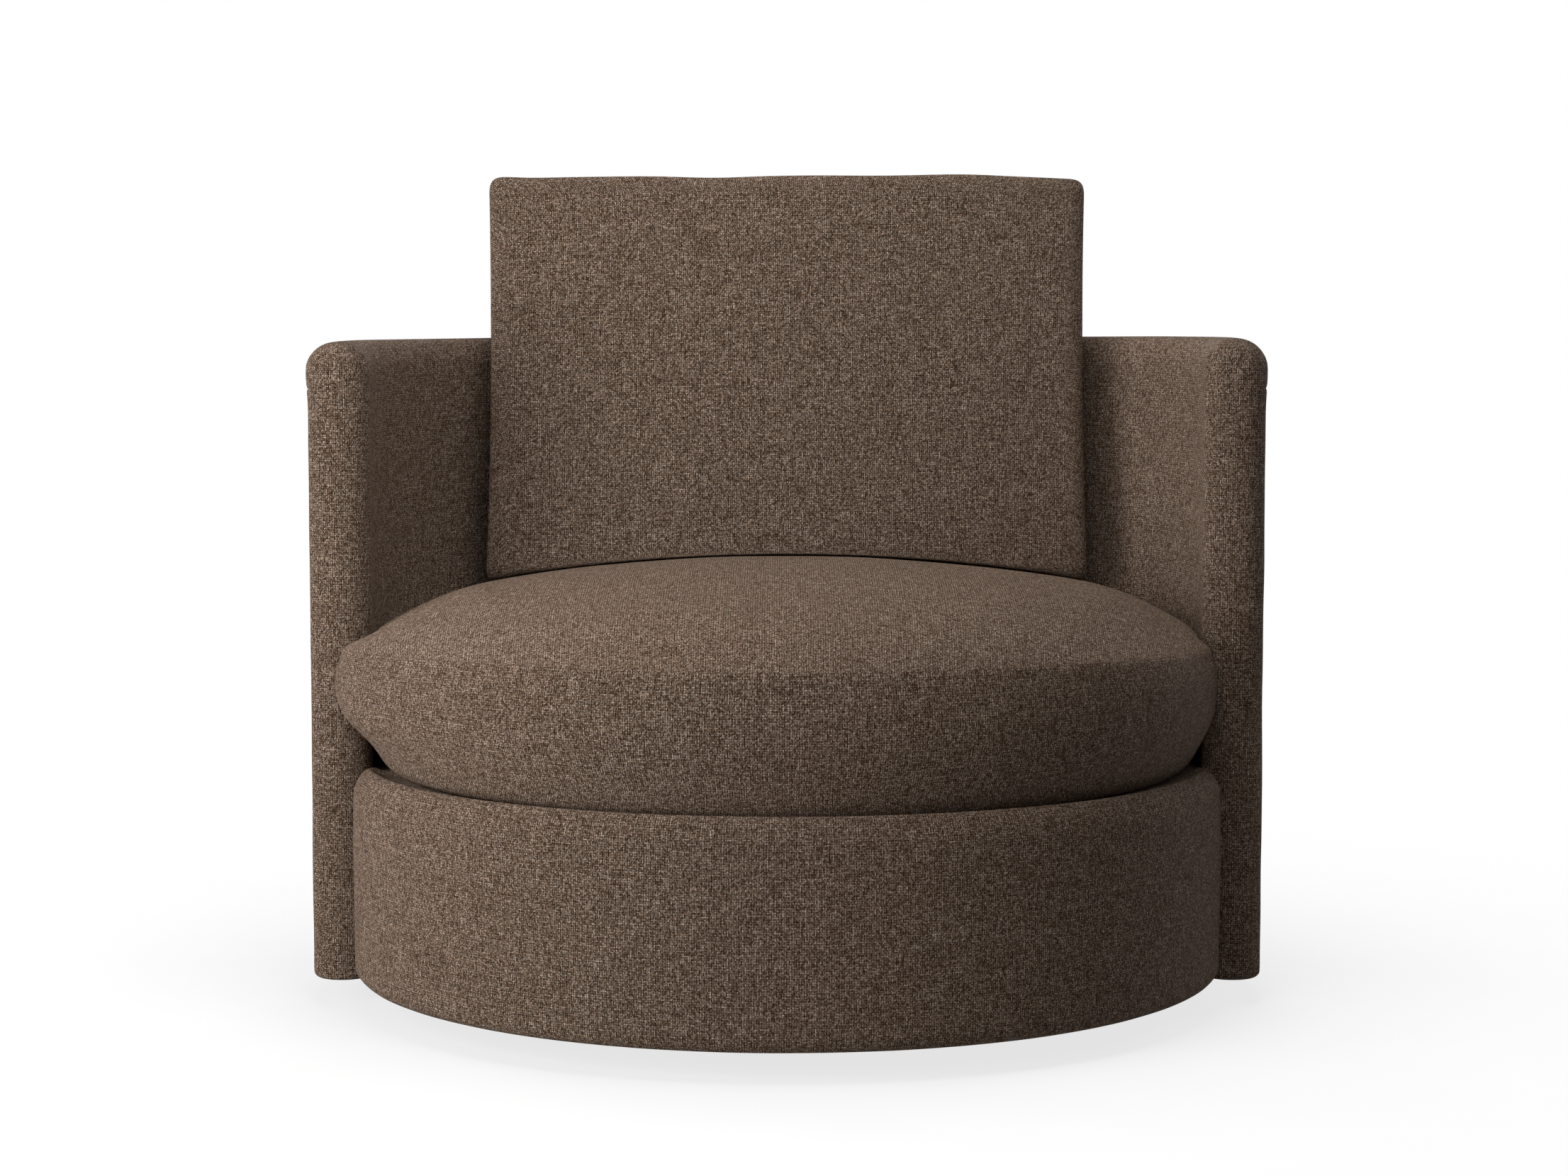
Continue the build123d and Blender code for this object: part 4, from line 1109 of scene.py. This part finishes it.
def light_paths(tree):
    """1 for rays that show the background: straight from the camera, mirrored, or through glass."""
    rays = add(tree, "ShaderNodeLightPath").outputs
    seen = calculate(tree, "MAXIMUM", rays["Is Camera Ray"], rays["Is Glossy Ray"])
    return calculate(tree, "MAXIMUM", seen, rays["Is Transmission Ray"])


def choose(tree, share, first, second):
    """One of two shaders, or a mix of both."""
    return add(tree, "ShaderNodeMixShader", {0: share, 1: first.outputs[0], 2: second.outputs[0]})


def floor_material():
    """White floor with a soft shadow painted into its glow near the chair, besides the lamps' faint
    real shadows, that fades into the background.
    """
    material, tree = new_material("floor")
    place = local_place(tree)
    tone = ramp(tree, mottle(tree, place, 8.0, 2.0)[0], FLOOR_TONES)
    paint = add(tree, "ShaderNodeBsdfDiffuse", {"Color": tone})
    # painted shadow: the floor's glow is dimmed where the chair closes the floor in
    open_sky = add(tree, "ShaderNodeAmbientOcclusion", {"Distance": FLOOR_PAINTED_SHADE_REACH}, samples=16)
    shade = ramp(tree, open_sky.outputs["AO"], FLOOR_PAINTED_SHADE)
    glow = add(tree, "ShaderNodeEmission", {"Color": shade, "Strength": FLOOR_GLOW})
    shadowed = add(tree, "ShaderNodeAddShader", {0: paint.outputs[0], 1: glow.outputs[0]})
    white = add(tree, "ShaderNodeEmission", {"Strength": 1.0})
    distance = add(tree, "ShaderNodeVectorMath", {0: place}, operation="LENGTH").outputs["Value"]
    far = add(
        tree, "ShaderNodeMapRange",
        {"Value": distance, "From Min": FLOOR_FADE[0], "From Max": FLOOR_FADE[1]},
        interpolation_type="SMOOTHSTEP",
    )
    seen = choose(tree, far.outputs[0], shadowed, white)
    bounce = add(tree, "ShaderNodeBsdfDiffuse", {"Color": FLOOR_BOUNCE})
    chosen = choose(tree, light_paths(tree), bounce, seen)
    add(tree, "ShaderNodeOutputMaterial", {0: chosen.outputs[0]})
    return material


def lay_floor():
    """A round floor under the chair."""
    reach, angle = disc_grid(24)
    grid = polar(reach * FLOOR_RADIUS, angle)
    ground = Cloth()
    ground.sew(ground.lay(grid), grid[:, :, :2])
    floor = ground.make("floor")
    floor.data.materials.append(floor_material())


def set_world():
    """White where it is seen, and a low even light elsewhere."""
    world = bpy.data.worlds.new("studio")
    bpy.context.scene.world = world
    world.use_nodes = True
    tree = world.node_tree
    tree.nodes.clear()
    seen = add(tree, "ShaderNodeBackground", {"Color": (1, 1, 1, 1), "Strength": 1.0})
    low = add(tree, "ShaderNodeBackground", {"Color": (1, 1, 1, 1), "Strength": AMBIENT})
    chosen = choose(tree, light_paths(tree), low, seen)
    add(tree, "ShaderNodeOutputWorld", {0: chosen.outputs[0]})


def set_lights():
    """Soft lamps aimed at the chair."""
    for name, turn, rise, distance, size, power in LIGHTS:
        turn = math.radians(turn)
        rise = math.radians(rise)
        flat = math.cos(rise)
        direction = Vector((math.sin(turn) * flat, -math.cos(turn) * flat, math.sin(rise)))
        lamp = bpy.data.lights.new(name, "AREA")
        lamp.size = size
        lamp.energy = power
        holder = bpy.data.objects.new(name, lamp)
        holder.location = AIM + direction * distance
        holder.rotation_euler = (-direction).to_track_quat("-Z", "Y").to_euler()
        holder.visible_camera = False
        bpy.context.scene.collection.objects.link(holder)


def set_camera():
    """The photograph's viewpoint."""
    data = bpy.data.cameras.new("camera")
    data.sensor_width = 36
    data.sensor_fit = "HORIZONTAL"
    data.lens = CAMERA_LENS
    camera = bpy.data.objects.new("camera", data)
    camera.location = (CAMERA_X, AXIS_Y - CAMERA_DISTANCE, CAMERA_HEIGHT)
    camera.rotation_euler = (math.pi / 2 - CAMERA_PITCH, 0, 0)
    bpy.context.scene.collection.objects.link(camera)
    bpy.context.scene.camera = camera


def smooth_more(piece):
    """One level of subdivision."""
    surface = piece.modifiers.new("smooth", "SUBSURF")
    surface.levels = 1
    surface.render_levels = 1


def dress(piece, slot, body, *nodes):
    """Give a piece its cloth, and let it stand for CAD nodes of a body."""
    piece.data.materials.append(materials[slot])
    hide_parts(*nodes)
    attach(piece, body)


bpy.context.scene.view_settings.view_transform = "Standard"
materials = make_materials()
for part in frame["record"]["subparts"]:
    for holder in frame["nodes"][part["node"]].material_slots:
        holder.material = materials[part["material_slot"]]

barrel_inside, barrel_outside = barrel()
rail = front_rail()
deck, _ = round_sheet(
    "deck", ROLL_RADIUS - 0.001, deck_high.x, deck_high.z, thickness=0.004, sag=0.002, seed=6
)
spring_sheet, spring_area = round_sheet(
    "spring_sheet", ROLL_RADIUS - 0.01, min(cloth_high.x, ROLL_RADIUS), cloth_high.z,
    thickness=0.001, sag=0.001, seed=7,
)
under_cover, under_area = dust_cover()
seat = seat_cushion()
back = back_cushion()
for piece in (barrel_inside, barrel_outside, rail, seat, back):
    smooth_more(piece)

dress(
    barrel_inside, "tweed", "chair",
    "inside_barrel_cover", "barrel_inside_foam", "top_roll_foam",
    "arm_front_foam_left", "arm_front_foam_right",
)
dress(barrel_outside, "tweed", "chair", "outside_barrel_cover", "barrel_outside_padding")
dress(rail, "tweed", "chair", "front_rail_cover", "front_rail_foam")
dress(deck, "tweed", "chair", "deck_cover", "deck_pad")
dress(spring_sheet, "cambric", "chair", "spring_cloth")
dress(under_cover, "cambric", "chair", "dust_cover")
dress(seat, "tweed", "seat_cushion", "seat_cushion_cover", "seat_cushion_wrap", "seat_cushion_core")
dress(back, "tweed", "back_cushion", "back_cushion_cover", "back_cushion_filling")
for name, chain in (("seat", seat_zip()), ("back", back_zip())):
    tape, teeth = chain
    dress(tape, "zip_tape", name + "_cushion", name + "_zip_tape")
    teeth.data.materials.append(materials["zip_metal"])
    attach(teeth, name + "_cushion")

lay_floor()
set_world()
set_lights()
set_camera()
